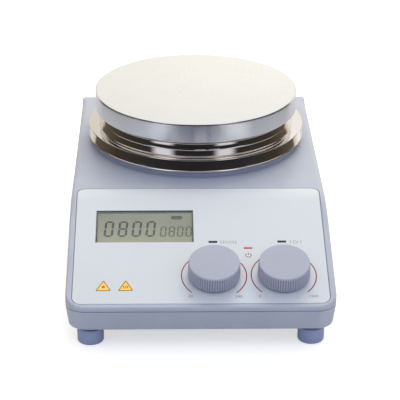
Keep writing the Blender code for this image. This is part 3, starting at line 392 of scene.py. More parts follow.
def carve(obj, steps):
    """Apply a list of (operation, cutter) to a piece, then drop the cutters."""
    for operation, cutter in steps:
        modifier = obj.modifiers.new(cutter.name, "BOOLEAN")
        modifier.operation = operation
        modifier.solver = "EXACT"
        modifier.object = cutter
    graph = bpy.context.evaluated_depsgraph_get()
    mesh = bpy.data.meshes.new_from_object(obj.evaluated_get(graph), depsgraph=graph)
    obj.modifiers.clear()
    obj.data = mesh
    for _, cutter in steps:
        bpy.data.objects.remove(cutter)
    smooth(mesh)


def weigh_normals(obj):
    """Let the large faces set the shading, so that flats stay flat."""
    obj.modifiers.new("weighted_normals", "WEIGHTED_NORMAL").keep_sharp = True


def soften(obj, width, steps=2, angle=40):
    """Round a piece's sharp edges a little."""
    modifier = obj.modifiers.new("soft_edges", "BEVEL")
    modifier.width = width
    modifier.segments = steps
    modifier.limit_method = "ANGLE"
    modifier.angle_limit = math.radians(angle)
    modifier.harden_normals = True


# -------- shader nodes


def srgb(red, green, blue):
    """Linear colour of an 8-bit display colour."""

    def linear(value):
        value /= 255
        return value / 12.92 if value <= 0.04045 else ((value + 0.055) / 1.055) ** 2.4

    return linear(red), linear(green), linear(blue), 1.0


def set_inputs(tree, node, inputs):
    """Set each input to a value, or join it to another node's socket."""
    for key, value in inputs.items():
        if isinstance(value, bpy.types.NodeSocket):
            tree.links.new(value, node.inputs[key])
        else:
            node.inputs[key].default_value = value


def add_node(tree, kind, inputs=None, **settings):
    """A shader node with its settings and its inputs."""
    node = tree.nodes.new(f"ShaderNode{kind}")
    for name, value in settings.items():
        setattr(node, name, value)
    set_inputs(tree, node, inputs or {})
    return node


def new_material(name):
    """A material with its node tree and Principled shader."""
    mat = bpy.data.materials.new(name)
    mat.use_nodes = True
    return mat, mat.node_tree, mat.node_tree.nodes["Principled BSDF"]


def set_surface(tree, shader, output):
    """Show another shader in place of the Principled one."""
    tree.nodes.remove(shader)
    tree.links.new(output, tree.nodes["Material Output"].inputs["Surface"])


def add_coords(tree, kind):
    """Texture coordinates."""
    return add_node(tree, "TexCoord").outputs[kind]


def add_split(tree, vector):
    """The three outputs of a vector."""
    return add_node(tree, "SeparateXYZ", {"Vector": vector}).outputs


def add_math(tree, operation, *values):
    """A maths node, its inputs sockets or numbers."""
    return add_node(tree, "Math", dict(enumerate(values)), operation=operation).outputs["Value"]


def add_scale(tree, colour, share):
    """Multiply a colour by a value."""
    if isinstance(colour, tuple):
        colour = colour[:3]
    return add_node(tree, "VectorMath", {0: colour, "Scale": share}, operation="SCALE").outputs["Vector"]


def mix_colour(tree, share, first, second):
    """Mix two colours, each a socket or a tuple."""
    return add_node(tree, "Mix", {0: share, 6: first, 7: second}, data_type="RGBA").outputs[2]


def add_noise(tree, coords, size, detail=2.0):
    """Noise whose features are about the given size."""
    inputs = {"Vector": coords, "Scale": 1 / size, "Detail": detail}
    return add_node(tree, "TexNoise", inputs).outputs["Fac"]


def map_range(tree, value, source, target=(0.0, 1.0), kind="LINEAR"):
    """Carry a value from one (low, high) range to another."""
    ends = dict(zip(("From Min", "From Max", "To Min", "To Max"), (*source, *target)))
    inputs = {"Value": value, **ends}
    return add_node(tree, "MapRange", inputs, interpolation_type=kind).outputs["Result"]


def spread_noise(tree, noise, low, high):
    """Spread a noise value between two numbers."""
    return map_range(tree, noise, (0.3, 0.7), (low, high))


def add_step(tree, value, span):
    """0 below a span, 1 above it, and smooth between."""
    return map_range(tree, value, span, kind="SMOOTHSTEP")


def add_band(tree, value, centre, half, soft):
    """1 within half of a centre, falling to 0 over a soft edge."""
    away = add_math(tree, "ABSOLUTE", add_math(tree, "SUBTRACT", value, centre))
    return map_range(tree, away, (half, half + soft), (1.0, 0.0), "SMOOTHSTEP")


def add_bump(tree, height, depth):
    """A bump of a real depth."""
    return add_node(tree, "Bump", {"Distance": depth, "Height": height}).outputs["Normal"]


def add_ramp(tree, value, stops):
    """Blend between (position, colour) stops along a value."""
    ramp = add_node(tree, "ValToRGB", {"Fac": value})
    elements = ramp.color_ramp.elements
    while len(elements) < len(stops):
        elements.new(1.0)
    for element, (position, colour) in zip(elements, stops):
        element.position = position
        element.color = colour
    return ramp.outputs["Color"]


# -------- finishes

# Use: (material name, display colour, roughness, anything else that surface() takes)
SURFACES = {
    "case": ("case_plastic", (172, 180, 199), 0.36, dict(depth=0.008)),
    "panel": ("panel_sheet", (205, 213, 224), 0.42, dict(spread=0.012, patch=40)),
    "knob": ("knob_plastic", (169, 174, 194), 0.5, dict(spread=0.02, grain=0.35, depth=0.012)),
    "foot": ("foot_rubber", (148, 160, 194), 0.6, dict(spread=0.05, patch=6, depth=0.02)),
    "ceramic": ("plate_ceramic", (206, 209, 212), 0.3, dict(spread=0.012, grain=0.8)),
    "stainless": ("pan_polished_steel", (238, 233, 228), 0.07,
                  dict(metallic=1.0, spread=0.02, grain=6, depth=0.01)),
    "steel": ("zinc_steel", (190, 192, 198), 0.34, dict(metallic=1.0, spread=0.06, patch=5)),
    "aluminium": ("mill_aluminium", (212, 214, 218), 0.38,
                  dict(metallic=1.0, spread=0.04, patch=8, grain=0.3, stretch=(1, 12, 12))),
    "display_body": ("display_shell", (70, 72, 74), 0.5, dict(patch=9)),
    "board": ("board_resist", (24, 92, 52), 0.4, dict(spread=0.12, patch=7, grain=1.2)),
    "dark": ("dark_plastic", (46, 47, 52), 0.45, dict(spread=0.08, patch=8, depth=0.015)),
    "gasket": ("display_gasket", (74, 75, 74), 0.6, dict(spread=0.1, patch=4)),
    "red": ("red_lens", (196, 104, 118), 0.4, dict(spread=0.08, patch=2)),
    "rocker": ("rocker_red", (176, 34, 36), 0.3, dict(spread=0.05, patch=6)),
    "black": ("light_guide", (26, 27, 34), 0.3, dict(spread=0.2, patch=2)),
    "magnet": ("nickel_magnet", (176, 176, 172), 0.22, dict(metallic=1.0, spread=0.05, patch=6)),
    "copper": ("copper_windings", (190, 108, 62), 0.32, dict(metallic=1.0, spread=0.14, patch=3, depth=0.06)),
    "brass": ("brass_contact", (214, 186, 120), 0.28, dict(metallic=1.0, spread=0.06, patch=4)),
    "mica": ("mica_heater", (168, 148, 116), 0.55, dict(spread=0.16, patch=4, depth=0.05)),
    "fibre": ("ceramic_fibre", (226, 223, 214), 0.95, dict(spread=0.06, patch=2, grain=0.6, depth=0.2)),
    "cable": ("cable_sleeve", (188, 182, 166), 0.75, dict(spread=0.1, patch=3, depth=0.06)),
    "red_ink": ("red_print", (150, 60, 80), 0.6, dict(spread=0.06, patch=4)),
    "grey_ink": ("grey_print", (132, 136, 146), 0.6, dict(spread=0.06, patch=4)),
    "icon_ink": ("pale_grey_print", (165, 168, 175), 0.6, dict(spread=0.05, patch=4)),
    "yellow_ink": ("yellow_print", (247, 208, 104), 0.55, dict(spread=0.04, patch=4)),
    "brown_ink": ("brown_print", (168, 116, 48), 0.6, dict(spread=0.08, patch=3)),
    "white_ink": ("white_print", (230, 230, 228), 0.6, dict(spread=0.04, patch=3)),
}
ROUGHNESS_SPREAD = 0.12

PLATE_SIDE_COLOUR = srgb(236, 237, 241)
PLATE_SIDE_ROUGHNESS = 0.16
TURNING_PITCH = 0.35 * MM

DISPLAY_PALE = srgb(210, 208, 186)
DISPLAY_COOL = srgb(170, 173, 162)
DISPLAY_LEAN = 0.35
DIGIT_INK = (srgb(22, 29, 34), srgb(52, 92, 102))
SMALL_DIGIT_INK = (srgb(88, 100, 90), srgb(102, 118, 98))


def surface(name, colour, roughness, metallic=0.0, spread=0.03, patch=18, grain=0.5, depth=0.006,
            stretch=(1, 1, 1)):
    """Slow patches of colour, with fine grain in the roughness and the relief; sizes in mm."""
    mat, tree, shader = new_material(name)
    coords = add_coords(tree, "Object")
    mapping = add_node(tree, "Mapping", {"Vector": coords, "Scale": stretch})
    grains = add_noise(tree, mapping.outputs["Vector"], grain * MM, 3.0)
    share = spread_noise(tree, add_noise(tree, coords, patch * MM), 1 - spread, 1 + spread)
    rough = (roughness * (1 - ROUGHNESS_SPREAD), min(1.0, roughness * (1 + ROUGHNESS_SPREAD)))
    set_inputs(tree, shader, {
        "Base Color": add_scale(tree, colour, share),
        "Roughness": spread_noise(tree, grains, *rough),
        "Normal": add_bump(tree, grains, depth * MM),
        "Metallic": metallic,
    })
    mat.diffuse_color = colour
    return mat


def turned_metal(name):
    """Metal turned on a lathe: fine rings round the Z axis, and highlights stretched across them."""
    mat, tree, shader = new_material(name)
    coords = add_coords(tree, "Object")
    rings = add_node(tree, "CombineXYZ", {"Z": add_split(tree, coords)["Z"]})
    lines = add_noise(tree, rings.outputs["Vector"], TURNING_PITCH, 3.0)
    share = spread_noise(tree, add_noise(tree, coords, 22 * MM), 0.97, 1.03)
    rough = (PLATE_SIDE_ROUGHNESS * 0.85, PLATE_SIDE_ROUGHNESS * 1.15)
    set_inputs(tree, shader, {
        "Base Color": add_scale(tree, PLATE_SIDE_COLOUR, share),
        "Roughness": spread_noise(tree, lines, *rough),
        "Normal": add_bump(tree, lines, 0.004 * MM),
        "Metallic": 1.0,
        "Anisotropic": 0.5,
        "Anisotropic Rotation": 0.25,
        "Tangent": add_node(tree, "Tangent", direction_type="RADIAL", axis="Z").outputs["Tangent"],
    })
    mat.diffuse_color = PLATE_SIDE_COLOUR
    return mat


def display_face(name):
    """The display's reflective layer: olive grey, cooler towards the top right, with a soft mottle."""
    mat, tree, shader = new_material(name)
    split = add_split(tree, add_coords(tree, "Generated"))
    lean = add_math(tree, "MULTIPLY_ADD", split["X"], DISPLAY_LEAN, split["Y"])
    stops = ((0.15, DISPLAY_PALE), (1.25 / (1 + DISPLAY_LEAN), DISPLAY_COOL))
    mottle = spread_noise(tree, add_noise(tree, add_coords(tree, "Object"), 1.2 * MM), 0.96, 1.04)
    set_inputs(tree, shader, {
        "Base Color": add_scale(tree, add_ramp(tree, lean, stops), mottle),
        "Roughness": 0.5,
        "Specular IOR Level": 0.2,
    })
    return mat


def display_ink(name, upper, lower):
    """Segments that fade from a darker colour at the top to a lighter one at the bottom."""
    mat, tree, shader = new_material(name)
    split = add_split(tree, add_coords(tree, "Generated"))
    colour = add_ramp(tree, split["Y"], ((0.25, lower), (0.75, upper)))
    set_inputs(tree, shader, {"Base Color": colour, "Roughness": 0.6, "Specular IOR Level": 0.1})
    return mat


def clear_sheet(name):
    """A clear window: mostly see-through, with a reflection that grows at a glancing view."""
    mat, tree, shader = new_material(name)
    smears = spread_noise(tree, add_noise(tree, add_coords(tree, "Object"), 9 * MM), 0.04, 0.1)
    see = add_node(tree, "BsdfTransparent", {"Color": (0.97, 0.98, 0.96, 1)})
    gloss = add_node(tree, "BsdfGlossy", {"Roughness": smears})
    fresnel = add_node(tree, "Fresnel", {"IOR": 1.3})
    parts = {"Fac": fresnel.outputs["Fac"], 1: see.outputs["BSDF"], 2: gloss.outputs["BSDF"]}
    set_surface(tree, shader, add_node(tree, "MixShader", parts).outputs["Shader"])
    mat.diffuse_color = (0.9, 0.95, 0.9, 0.2)
    return mat


def make_materials():
    """Every finish, by the name of its use."""
    made = {
        use: surface(name, srgb(*colour), roughness, **more)
        for use, (name, colour, roughness, more) in SURFACES.items()
    }
    made["plate_side"] = turned_metal("plate_turned_side")
    made["display"] = display_face("display_face")
    made["digits"] = display_ink("display_digits", *DIGIT_INK)
    made["small_digits"] = display_ink("display_small_digits", *SMALL_DIGIT_INK)
    made["clear"] = clear_sheet("window_sheet")
    return made


MATERIALS = make_materials()


# -------- case pieces


def edge_radius(y):
    """Radius of the case's rim: small round the slope, wider round the top, and small again at the rear."""
    radius = FRONT_EDGE + (TOP_EDGE - FRONT_EDGE) * smoothstep(y, BREAK_Y - 25 * MM, BREAK_Y + 5 * MM)
    return radius + (REAR_EDGE - radius) * smoothstep(y, REAR - REAR_BLEND, REAR - REAR_CORNER)


def case_stations():
    """Places along a side where the case's rim changes."""
    bend = [skin_point(u)[0] for u in bend_stations()]
    blend = [BREAK_Y + (i * 3 - 27) * MM for i in range(12)]
    rear = [REAR - REAR_BLEND * (1 - i / 8) for i in range(8)]
    return bend + blend + rear


def case_loops(inset, drop, bottom, rim):
    """Loops of the case's body, pulled in by a wall, from its open bottom to its rim."""
    front = FRONT_CORNER - inset
    corners = (front, front if inset else REAR_CORNER)
    half = rounded_half(HALF_WIDTH - inset, FRONT + inset, REAR - inset, corners, case_stations())
    loops = []
    for pull, z in bottom:
        loops.append(mirrored([(x - nx * pull, y - ny * pull, z) for x, y, nx, ny in half]))
    for step in range(EDGE_STEPS + 1):
        a = math.pi / 2 * step / EDGE_STEPS
        row = []
        for x, y, nx, ny in half:
            radius = rim(y)
            pull = radius * (1 - math.cos(a))
            moved = y - ny * pull
            row.append((x - nx * pull, moved, skin_height(moved) - drop - radius * (1 - math.sin(a))))
        loops.append(mirrored(row))
    return loops


def bent_sheet(layers):
    """A sheet that follows the case's skin, stacked in layers of (grow, lift)."""
    start = BREAK_Y - PANEL_HIGH.y
    end = (CASE_TOP - PANEL_LOW.z - (PANEL_DROP + PANEL_THICKNESS) * ACROSS) / RISE
    loops = []
    for grow, lift in layers:
        corners = (PANEL_CORNER + grow, PANEL_CORNER + grow)
        half = rounded_half(PANEL_HIGH.x + grow, start - grow, end + grow, corners, bend_stations())
        loops.append(mirrored([(x, *skin_point(u, lift)) for x, u, _, _ in half]))
    return stacked(loops)


def window_size():
    """Width and height of the display window."""
    size = extent("lcd_window")
    return size.x, (size.y - PANEL_THICKNESS * RISE) / ACROSS


def indicator_size(name):
    """Width and height of a light guide's face."""
    size = extent(f"{name}_indicator")
    depth = (size.z * ACROSS - size.y * RISE) / (ACROSS**2 - RISE**2)
    return size.x, (size.y - depth * RISE) / ACROSS


WINDOW_PLACE = panel_place(middle("lcd_window"))
LIGHT_PLACES = {name: panel_place(middle(f"{name}_indicator")) for name in ("heat", "stir", "power")}


def panel_openings(shaft_hole, margin):
    """Steps that cut the window, the two shaft holes and the three light slots."""
    width, height = window_size()
    opening = box_shape((width + 2 * margin, height + 2 * margin, THROUGH))
    steps = [cut(opening, panel_matrix(*WINDOW_PLACE))]
    for spot in KNOB_SPOTS.values():
        hole = drum(shaft_hole, -THROUGH / 2, THROUGH / 2, 64)
        steps.append(cut(hole, panel_matrix(*panel_place(spot))))
    for name, place in LIGHT_PLACES.items():
        width, height = indicator_size(name)
        slot = box_shape((width + LIGHT_GAP, height + LIGHT_GAP, THROUGH))
        steps.append(cut(slot, panel_matrix(*place)))
    return steps


def rear_openings():
    """Steps that cut the holes for the inlet, the switch and the probe socket."""
    steps = []
    for node, width, height in (("power_inlet", 28, 21), ("power_switch_frame", 13.6, 19.6)):
        spot = middle(node)
        steps.append(cut(box_shape((width * MM, THROUGH, height * MM), (spot.x, REAR, spot.z))))
    spot = middle("probe_socket")
    turn = Matrix.Translation((spot.x, REAR, spot.z)) @ Matrix.Rotation(math.pi / 2, 4, "X")
    steps.append(cut(drum(PROBE_HOLE, -THROUGH / 2, THROUGH / 2, 64), turn))
    return steps


def collar_steps():
    """Steps that raise the collar with its cove, hollow the case, and bore the collar."""
    foot = COLLAR_RADIUS + COLLAR_COVE
    top = HOUSING_HIGH.z
    collar = [(0, CASE_TOP - WALL), (foot, CASE_TOP - WALL), (foot, CASE_TOP + 0.02 * MM)]
    collar += arc(foot, CASE_TOP + COLLAR_COVE, COLLAR_COVE, -90, -180, 6)[1:]
    collar += arc(COLLAR_RADIUS - COLLAR_LIP, top - COLLAR_LIP, COLLAR_LIP, 0, 90, 5)
    collar.append((0, top))
    inner = case_loops(WALL, WALL * CEILING_SHARE, [(0, SEAM - 1 * MM)], lambda y: INNER_EDGE)
    bore = drum(COLLAR_BORE, CASE_TOP - 6 * MM, PLATE_LOW.z, FINE_ROUND)
    return [join(turned(collar), at(PLATE_AXIS)), cut(stacked(inner)), cut(bore, at(PLATE_AXIS))]


def build_housing():
    """The upper shell, with its soft rim, panel recess, collar and openings."""
    bottom = [(SEAM_EDGE + 0.05 * MM, SEAM), (0.1 * MM, SEAM + 0.08 * MM), (0, SEAM + SEAM_EDGE)]
    outside = stacked(case_loops(0, 0, bottom, edge_radius))
    housing = add_piece("housing_shell", outside, "case", stands_for="top_housing")
    steps = collar_steps()
    for spot in FOOT_SPOTS.values():
        rear = spot.y > 0
        boss_top = CASE_TOP - 1.5 * MM if rear else SEAM + 4.4 * MM
        steps.append(join(drum(FOOT_BOSS, SEAM + 0.1 * MM, boss_top), at(spot)))
        hole_top = SEAM + (12 * MM if rear else 3 * MM)
        steps.append(cut(drum(SCREW_HOLE, SEAM - 1 * MM, hole_top), at(spot)))
    layers = [
        (GROOVE, -RECESS_DEPTH),
        (GROOVE, -GROOVE_MOUTH),
        (GROOVE + 0.09 * MM, -0.1 * MM),
        (GROOVE + GROOVE_MOUTH, 0.02 * MM),
        (GROOVE + GROOVE_MOUTH, 3 * MM),
    ]
    steps.append(cut(bent_sheet(layers)))
    carve(housing, steps + panel_openings(SHAFT_HOLE, 0.0) + rear_openings())
    weigh_normals(housing)


def build_base():
    """The lower tray: soft lower edge, drafted walls, locating lip, vents and screw wells."""
    top = SEAM - SEAM_GAP
    rows = []
    for step in range(6):
        a = math.radians(EDGE_TURN) * step / 5
        rows.append((BASE_DRAFT + BASE_EDGE * (1 - math.sin(a)), BASE_BOTTOM + BASE_EDGE * (1 - math.cos(a))))
    rows += [(0, top - SEAM_EDGE), (0.1 * MM, top - 0.08 * MM), (SEAM_EDGE + 0.05 * MM, top)]
    rows += [(WALL + SEAM_GAP, top), (WALL + SEAM_GAP, SEAM + LIP_RISE), (BASE_WALL, SEAM + LIP_RISE)]
    rows += [(BASE_WALL + 0.8 * MM, BASE_BOTTOM + WALL)]
    loops = []
    for inset, z in rows:
        corners = (max(FRONT_CORNER - inset, 1 * MM), max(REAR_CORNER - inset, 0.6 * MM))
        half = rounded_half(HALF_WIDTH - inset, FRONT + inset, REAR - inset, corners, ())
        loops.append(mirrored([(x, y, z) for x, y, _, _ in half]))
    base = add_piece("base_shell", stacked(loops), "case", stands_for="base_cover")
    below = BASE_BOTTOM - 5 * MM
    post_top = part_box("motor_bracket")[0].z - SEAM_GAP
    steps = []
    for spot in FOOT_SPOTS.values():
        steps.append(join(drum(FOOT_WELL, BASE_BOTTOM + 1 * MM, top - 0.2 * MM), at(spot)))
        steps.append(cut(drum(SCREW_HOLE, below, SEAM + 5 * MM), at(spot)))
    for spot in POST_SPOTS:
        steps.append(join(drum(POST_BOSS, BASE_BOTTOM + 1 * MM, post_top), at(spot)))
        steps.append(cut(drum(SCREW_HOLE, below, CASE_TOP), at(spot)))
        steps.append(cut(drum(HEAD_HOLE, below, BASE_BOTTOM + HEAD_DEPTH), at(spot)))
    for number in range(VENT_COUNT):
        y = PLATE_AXIS.y + (number - (VENT_COUNT - 1) / 2) * VENT_PITCH
        vent = rounded_slab(*VENT_SIZE, [(0, BASE_BOTTOM - 6 * MM), (0, BASE_BOTTOM + 6 * MM)])
        steps.append(cut(vent, at((0, y))))
    carve(base, steps)
    weigh_normals(base)


def build_panel():
    """The inset panel with its soft edge."""
    top = -PANEL_DROP
    layers = [(0, top - PANEL_THICKNESS)] + near(0, top, (0, -0.3), (-0.06, -0.1), (-0.25, 0))
    panel = add_piece("panel_sheet", bent_sheet(layers), "panel", stands_for="control_panel")
    carve(panel, panel_openings(NUT_HOLE, 0.2 * MM))
    weigh_normals(panel)


# -------- display

SEGMENTS = {"0": "abcdef", "8": "abcdefg"}
READING = "0800"
DISPLAY_LIFT = -1.55 * MM
INK_LIFT = DISPLAY_LIFT + 0.01 * MM
DIGIT_SLANT = 0.075
LARGE_DIGITS = (8.55 * MM, 5.8 * MM, 14 * MM, 1.4 * MM)
SMALL_DIGITS = (5.2 * MM, 3.9 * MM, 9.2 * MM, 0.95 * MM)


def digit_segments(width, height, thick):
    """Corner points of the seven segments of an upright digit, by letter."""
    gap = thick * 0.15
    half = thick / 2
    left, right = half, width - half
    low, mid, high = half, height / 2, height - half

    def flat(y):
        return [(left + gap, y), (left + half + gap, y + half), (right - half - gap, y + half),
                (right - gap, y), (right - half - gap, y - half), (left + half + gap, y - half)]

    def tall(x, bottom, top):
        return [(x, bottom + gap), (x + half, bottom + half + gap), (x + half, top - half - gap),
                (x, top - gap), (x - half, top - half - gap), (x - half, bottom + half + gap)]

    return {
        "a": flat(high), "g": flat(mid), "d": flat(low),
        "f": tall(left, mid, high), "b": tall(right, mid, high),
        "e": tall(left, low, mid), "c": tall(right, low, mid),
    }


def add_reading(name, place, size, finish):
    """A row of seven-segment digits on the display's face; place is its lower left corner."""
    pitch, *shape = size
    segments = digit_segments(*shape)
    bm = bmesh.new()
    for index, character in enumerate(READING):
        for letter in SEGMENTS[character]:
            add_polygon(bm, [(x + index * pitch + y * DIGIT_SLANT, y) for x, y in segments[letter]])
    add_piece(name, bm, finish, panel_matrix(*place, INK_LIFT))


def build_display():
    """Display shell, gasket, face, digits and the clear window over them."""
    x, u = WINDOW_PLACE
    width, height = window_size()
    here = panel_matrix(x, u, 0)
    shell_top = DISPLAY_LIFT - 0.25 * MM
    face_low = shell_top + 0.02 * MM
    window_low = -0.8 * MM

    def slab(margin, corner, layers):
        return rounded_slab(width - margin, height - margin, corner, layers)

    shell = slab(1.5 * MM, 0.8 * MM, edge_layers(-8 * MM, shell_top, 0.4 * MM))
    add_piece("display_shell", shell, "display_body", here, "lcd_module")
    face = slab(0.9 * MM, 0.4 * MM, [(0, face_low), (0, DISPLAY_LIFT)])
    add_piece("display_face", face, "display", here)
    frame_slab = slab(0.1 * MM, 0.45 * MM, [(0, DISPLAY_LIFT), (0, window_low - 0.05 * MM)])
    gasket = add_piece("display_gasket", frame_slab, "gasket", here)
    hole = box_shape((width - 1.5 * MM, height - 1.2 * MM, 6 * MM), (0, -0.2 * MM, 0))
    carve(gasket, [cut(hole, here)])
    sheet = slab(0, 0.5 * MM, edge_layers(window_low, -PANEL_DROP, 0.15 * MM, 2))
    add_piece("display_window", sheet, "clear", here, "lcd_window")
    left, bottom = x - width / 2, u + height / 2 - 6.2 * MM
    add_reading("reading_large", (left + 4.4 * MM, bottom), LARGE_DIGITS, "digits")
    add_reading("reading_small", (left + 38.9 * MM, bottom), SMALL_DIGITS, "small_digits")
    spot = panel_matrix(x + 19.7 * MM, u - 9.1 * MM, INK_LIFT)
    badge = rounded_slab(7.0 * MM, 3.2 * MM, 1.4 * MM, [(0, 0), (0, INK)])
    add_piece("display_badge", badge, "digits", spot)
    bar = rounded_slab(4.2 * MM, 0.8 * MM, 0.35 * MM, [(0, INK), (0, 2 * INK)])
    add_piece("display_badge_bar", bar, "small_digits", spot)


# -------- printed marks

DIAL_RADIUS = 19.4 * MM
DIAL_WIDTH = 0.7 * MM
# Two arcs beside each knob, in degrees with 90 up the slope
DIALS = {"heat": ((134, 226), (-48, 33)), "stir": ((134, 226), (-47, 38))}

NUMBER_SIZE = 2.9 * MM
# (name, text, dial, step to the right of the knob in mm, place down the slope in mm)
NUMBERS = (
    ("heat_low", "20", "heat", -14.2, 90.2),
    ("heat_high", "340", "heat", 14.2, 90.6),
    ("stir_low", "0", "stir", -15.0, 90.4),
    ("stir_high", "1500", "stir", 16.6, 90.6),
)

TRIANGLE_X = (-57.7 * MM, -44.5 * MM)
TRIANGLE_U = 80.95 * MM
SIGN_LOW = 1.5 * INK
SIGN_TOP = 2 * INK
THIN_LINE = 0.45 * MM


def add_mark(name, bm, place, finish):
    """A printed mark on the panel."""
    add_piece(name, bm, finish, panel_matrix(*place))


def build_dial(name):
    """Two printed arcs beside a knob."""
    bm = bmesh.new()
    for low, high in DIALS[name]:
        add_stroke(bm, arc(0, 0, DIAL_RADIUS, low, high, 40), DIAL_WIDTH)
    add_mark(f"{name}_dial_arcs", bm, panel_place(KNOB_SPOTS[name]), "red_ink")


def add_number(name, text, place):
    """A dial number, printed."""
    curve = bpy.data.curves.new(name, "FONT")
    curve.body = text
    curve.size = NUMBER_SIZE
    curve.align_x = "CENTER"
    curve.align_y = "CENTER"
    curve.resolution_u = 3
    curve.extrude = INK / 2
    holder = link(name, curve)
    bpy.context.view_layer.update()
    graph = bpy.context.evaluated_depsgraph_get()
    mesh = bpy.data.meshes.new_from_object(holder.evaluated_get(graph), depsgraph=graph)
    bpy.data.objects.remove(holder)
    bpy.data.curves.remove(curve)
    bm = bmesh.new()
    bm.from_mesh(mesh)
    bmesh.ops.remove_doubles(bm, verts=bm.verts, dist=1e-6)
    bmesh.ops.translate(bm, vec=(0, 0, INK / 2), verts=bm.verts)
    bpy.data.meshes.remove(mesh)
    add_mark(name, bm, place, "grey_ink")


def triangle(width, height, corner, steps=4):
    """A triangle with rounded corners, its middle at the origin."""
    corners = [Vector(p) for p in ((-width / 2, -height / 2), (width / 2, -height / 2), (0, height / 2))]
    points = []
    for i, tip in enumerate(corners):
        start = tip + (corners[i - 1] - tip).normalized() * corner
        end = tip + (corners[(i + 1) % 3] - tip).normalized() * corner
        for step in range(steps + 1):
            t = step / steps
            points.append(tuple((1 - t) ** 2 * start + 2 * t * (1 - t) * tip + t**2 * end))
    return points


def build_triangles():
    """Two plain yellow triangles, one with a disc and one with three short bars."""
    disc = [(a, b - 1.2 * MM) for a, b in circle(1.0 * MM, 24)]
    bar = [(-0.28, -2.3), (0.28, -2.3), (0.28, -0.4), (-0.28, -0.4)]
    bars = [[((a + shift) * MM, b * MM) for a, b in bar] for shift in (-1.15, 0, 1.15)]
    inner = [(a, b - 0.35 * MM) for a, b in triangle(7.4 * MM, 7.1 * MM, 0.7 * MM)]
    for number, x, signs in ((1, TRIANGLE_X[0], [disc]), (2, TRIANGLE_X[1], bars)):
        border, field, sign = bmesh.new(), bmesh.new(), bmesh.new()
        add_polygon(border, triangle(9.4 * MM, 9.0 * MM, 1.1 * MM))
        add_polygon(field, inner, INK, SIGN_LOW)
        for outline in signs:
            add_polygon(sign, outline, SIGN_LOW, SIGN_TOP)
        place = (x, TRIANGLE_U)
        add_mark(f"triangle_{number}_border", border, place, "brown_ink")
        add_mark(f"triangle_{number}_field", field, place, "yellow_ink")
        add_mark(f"triangle_{number}_sign", sign, place, "brown_ink")


def wave(x, height, swing, steps=12):
    """Points of one upright wavy line."""
    shares = [step / steps for step in range(steps + 1)]
    return [(x + swing * math.sin(2 * math.pi * t), height * (t - 0.5)) for t in shares]


def build_icons():
    """Small generic signs: rising heat, a turning arrow, and power."""
    x, u = LIGHT_PLACES["heat"]
    bm = bmesh.new()
    for index in range(7):
        add_stroke(bm, wave((index - 3) * 1.5 * MM, 2.5 * MM, 0.26 * MM), 0.5 * MM)
    add_mark("heat_sign", bm, (x + 9.4 * MM, u + 0.3 * MM), "icon_ink")
    x, u = LIGHT_PLACES["stir"]
    bm = bmesh.new()
    add_stroke(bm, arc(0, 0, 1.25 * MM, 60, 350, 24), THIN_LINE)
    add_polygon(bm, near(0, 0, (1.95, -0.15), (0.55, -0.15), (1.25, 0.85)))
    for side in (-2.9, 3.4):
        add_stroke(bm, near(0, 0, (side, -1.35), (side, 1.35)), THIN_LINE)
    add_mark("stir_sign", bm, (x + 8.2 * MM, u + 0.3 * MM), "icon_ink")
    x, u = LIGHT_PLACES["power"]
    bm = bmesh.new()
    add_stroke(bm, arc(0, 0, 1.7 * MM, 125, 415, 24), THIN_LINE)
    add_stroke(bm, near(0, 0, (0, 0.3), (0, 2.1)), THIN_LINE)
    add_mark("power_sign", bm, (x, u + 6.2 * MM), "red_ink")


def build_marks():
    """Everything printed on the panel."""
    for name in DIALS:
        build_dial(name)
    build_triangles()
    build_icons()
    for name, text, dial, step, u in NUMBERS:
        add_number(f"{name}_number", text, (KNOB_SPOTS[dial][0] + step * MM, u * MM))


def build_indicators():
    """Light guides with slightly domed faces."""
    layers = near(0, 0, (0, -4.6), (0, -0.12), (0.06, -0.03), (0.22, 0.02))
    for name, place in LIGHT_PLACES.items():
        finish, slot = ("red", "red") if name == "power" else ("black", "dark")
        lens = rounded_slab(*indicator_size(name), 0.3 * MM, layers, 4)
        add_piece(f"{name}_light_guide", lens, finish, panel_matrix(*place), f"{name}_indicator")


# -------- knobs

KNOB_RADIUS = extent("heat_knob").x / 2
KNOB_BOTTOM = 1.2 * MM
KNOB_TOP = (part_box("heat_knob")[1].z - KNOB_SPOTS["heat"][2] - KNOB_RADIUS * RISE) / ACROSS
KNOB_HOLLOW = 13.0 * MM
RIBS = 64
RIB_DEPTH = 0.9 * MM
RIB_SHAPE = 0.8
POINTS_PER_RIB = 8

# Rows of the side, from the foot and from the top: (step out in mm, share of the rib's depth, step up in mm)
KNOB_FOOT_ROWS = ((-0.5, 0.3, 0), (-0.1, 0.8, 0.15), (0, 1, 0.5))
KNOB_TOP_ROWS = (
    (-0.3, 1, -1.7), (-0.35, 0.7, -1.35), (-0.42, 0.2, -1.1), (-0.5, 0, -0.85), (-0.62, 0, -0.45),
    (-0.9, 0, -0.17), (-1.4, 0, -0.07),
)


def knob_ring(radius, rib, z):
    """One ring of a knob's side: rounded ribs with narrow valleys between them."""
    points = []
    count = RIBS * POINTS_PER_RIB
    for i in range(count):
        a = 2 * math.pi * i / count
        valley = 1 - abs(math.sin(RIBS * a / 2)) ** RIB_SHAPE
        r = radius - rib * valley
        points.append((r * math.cos(a), r * math.sin(a), z))
    return points


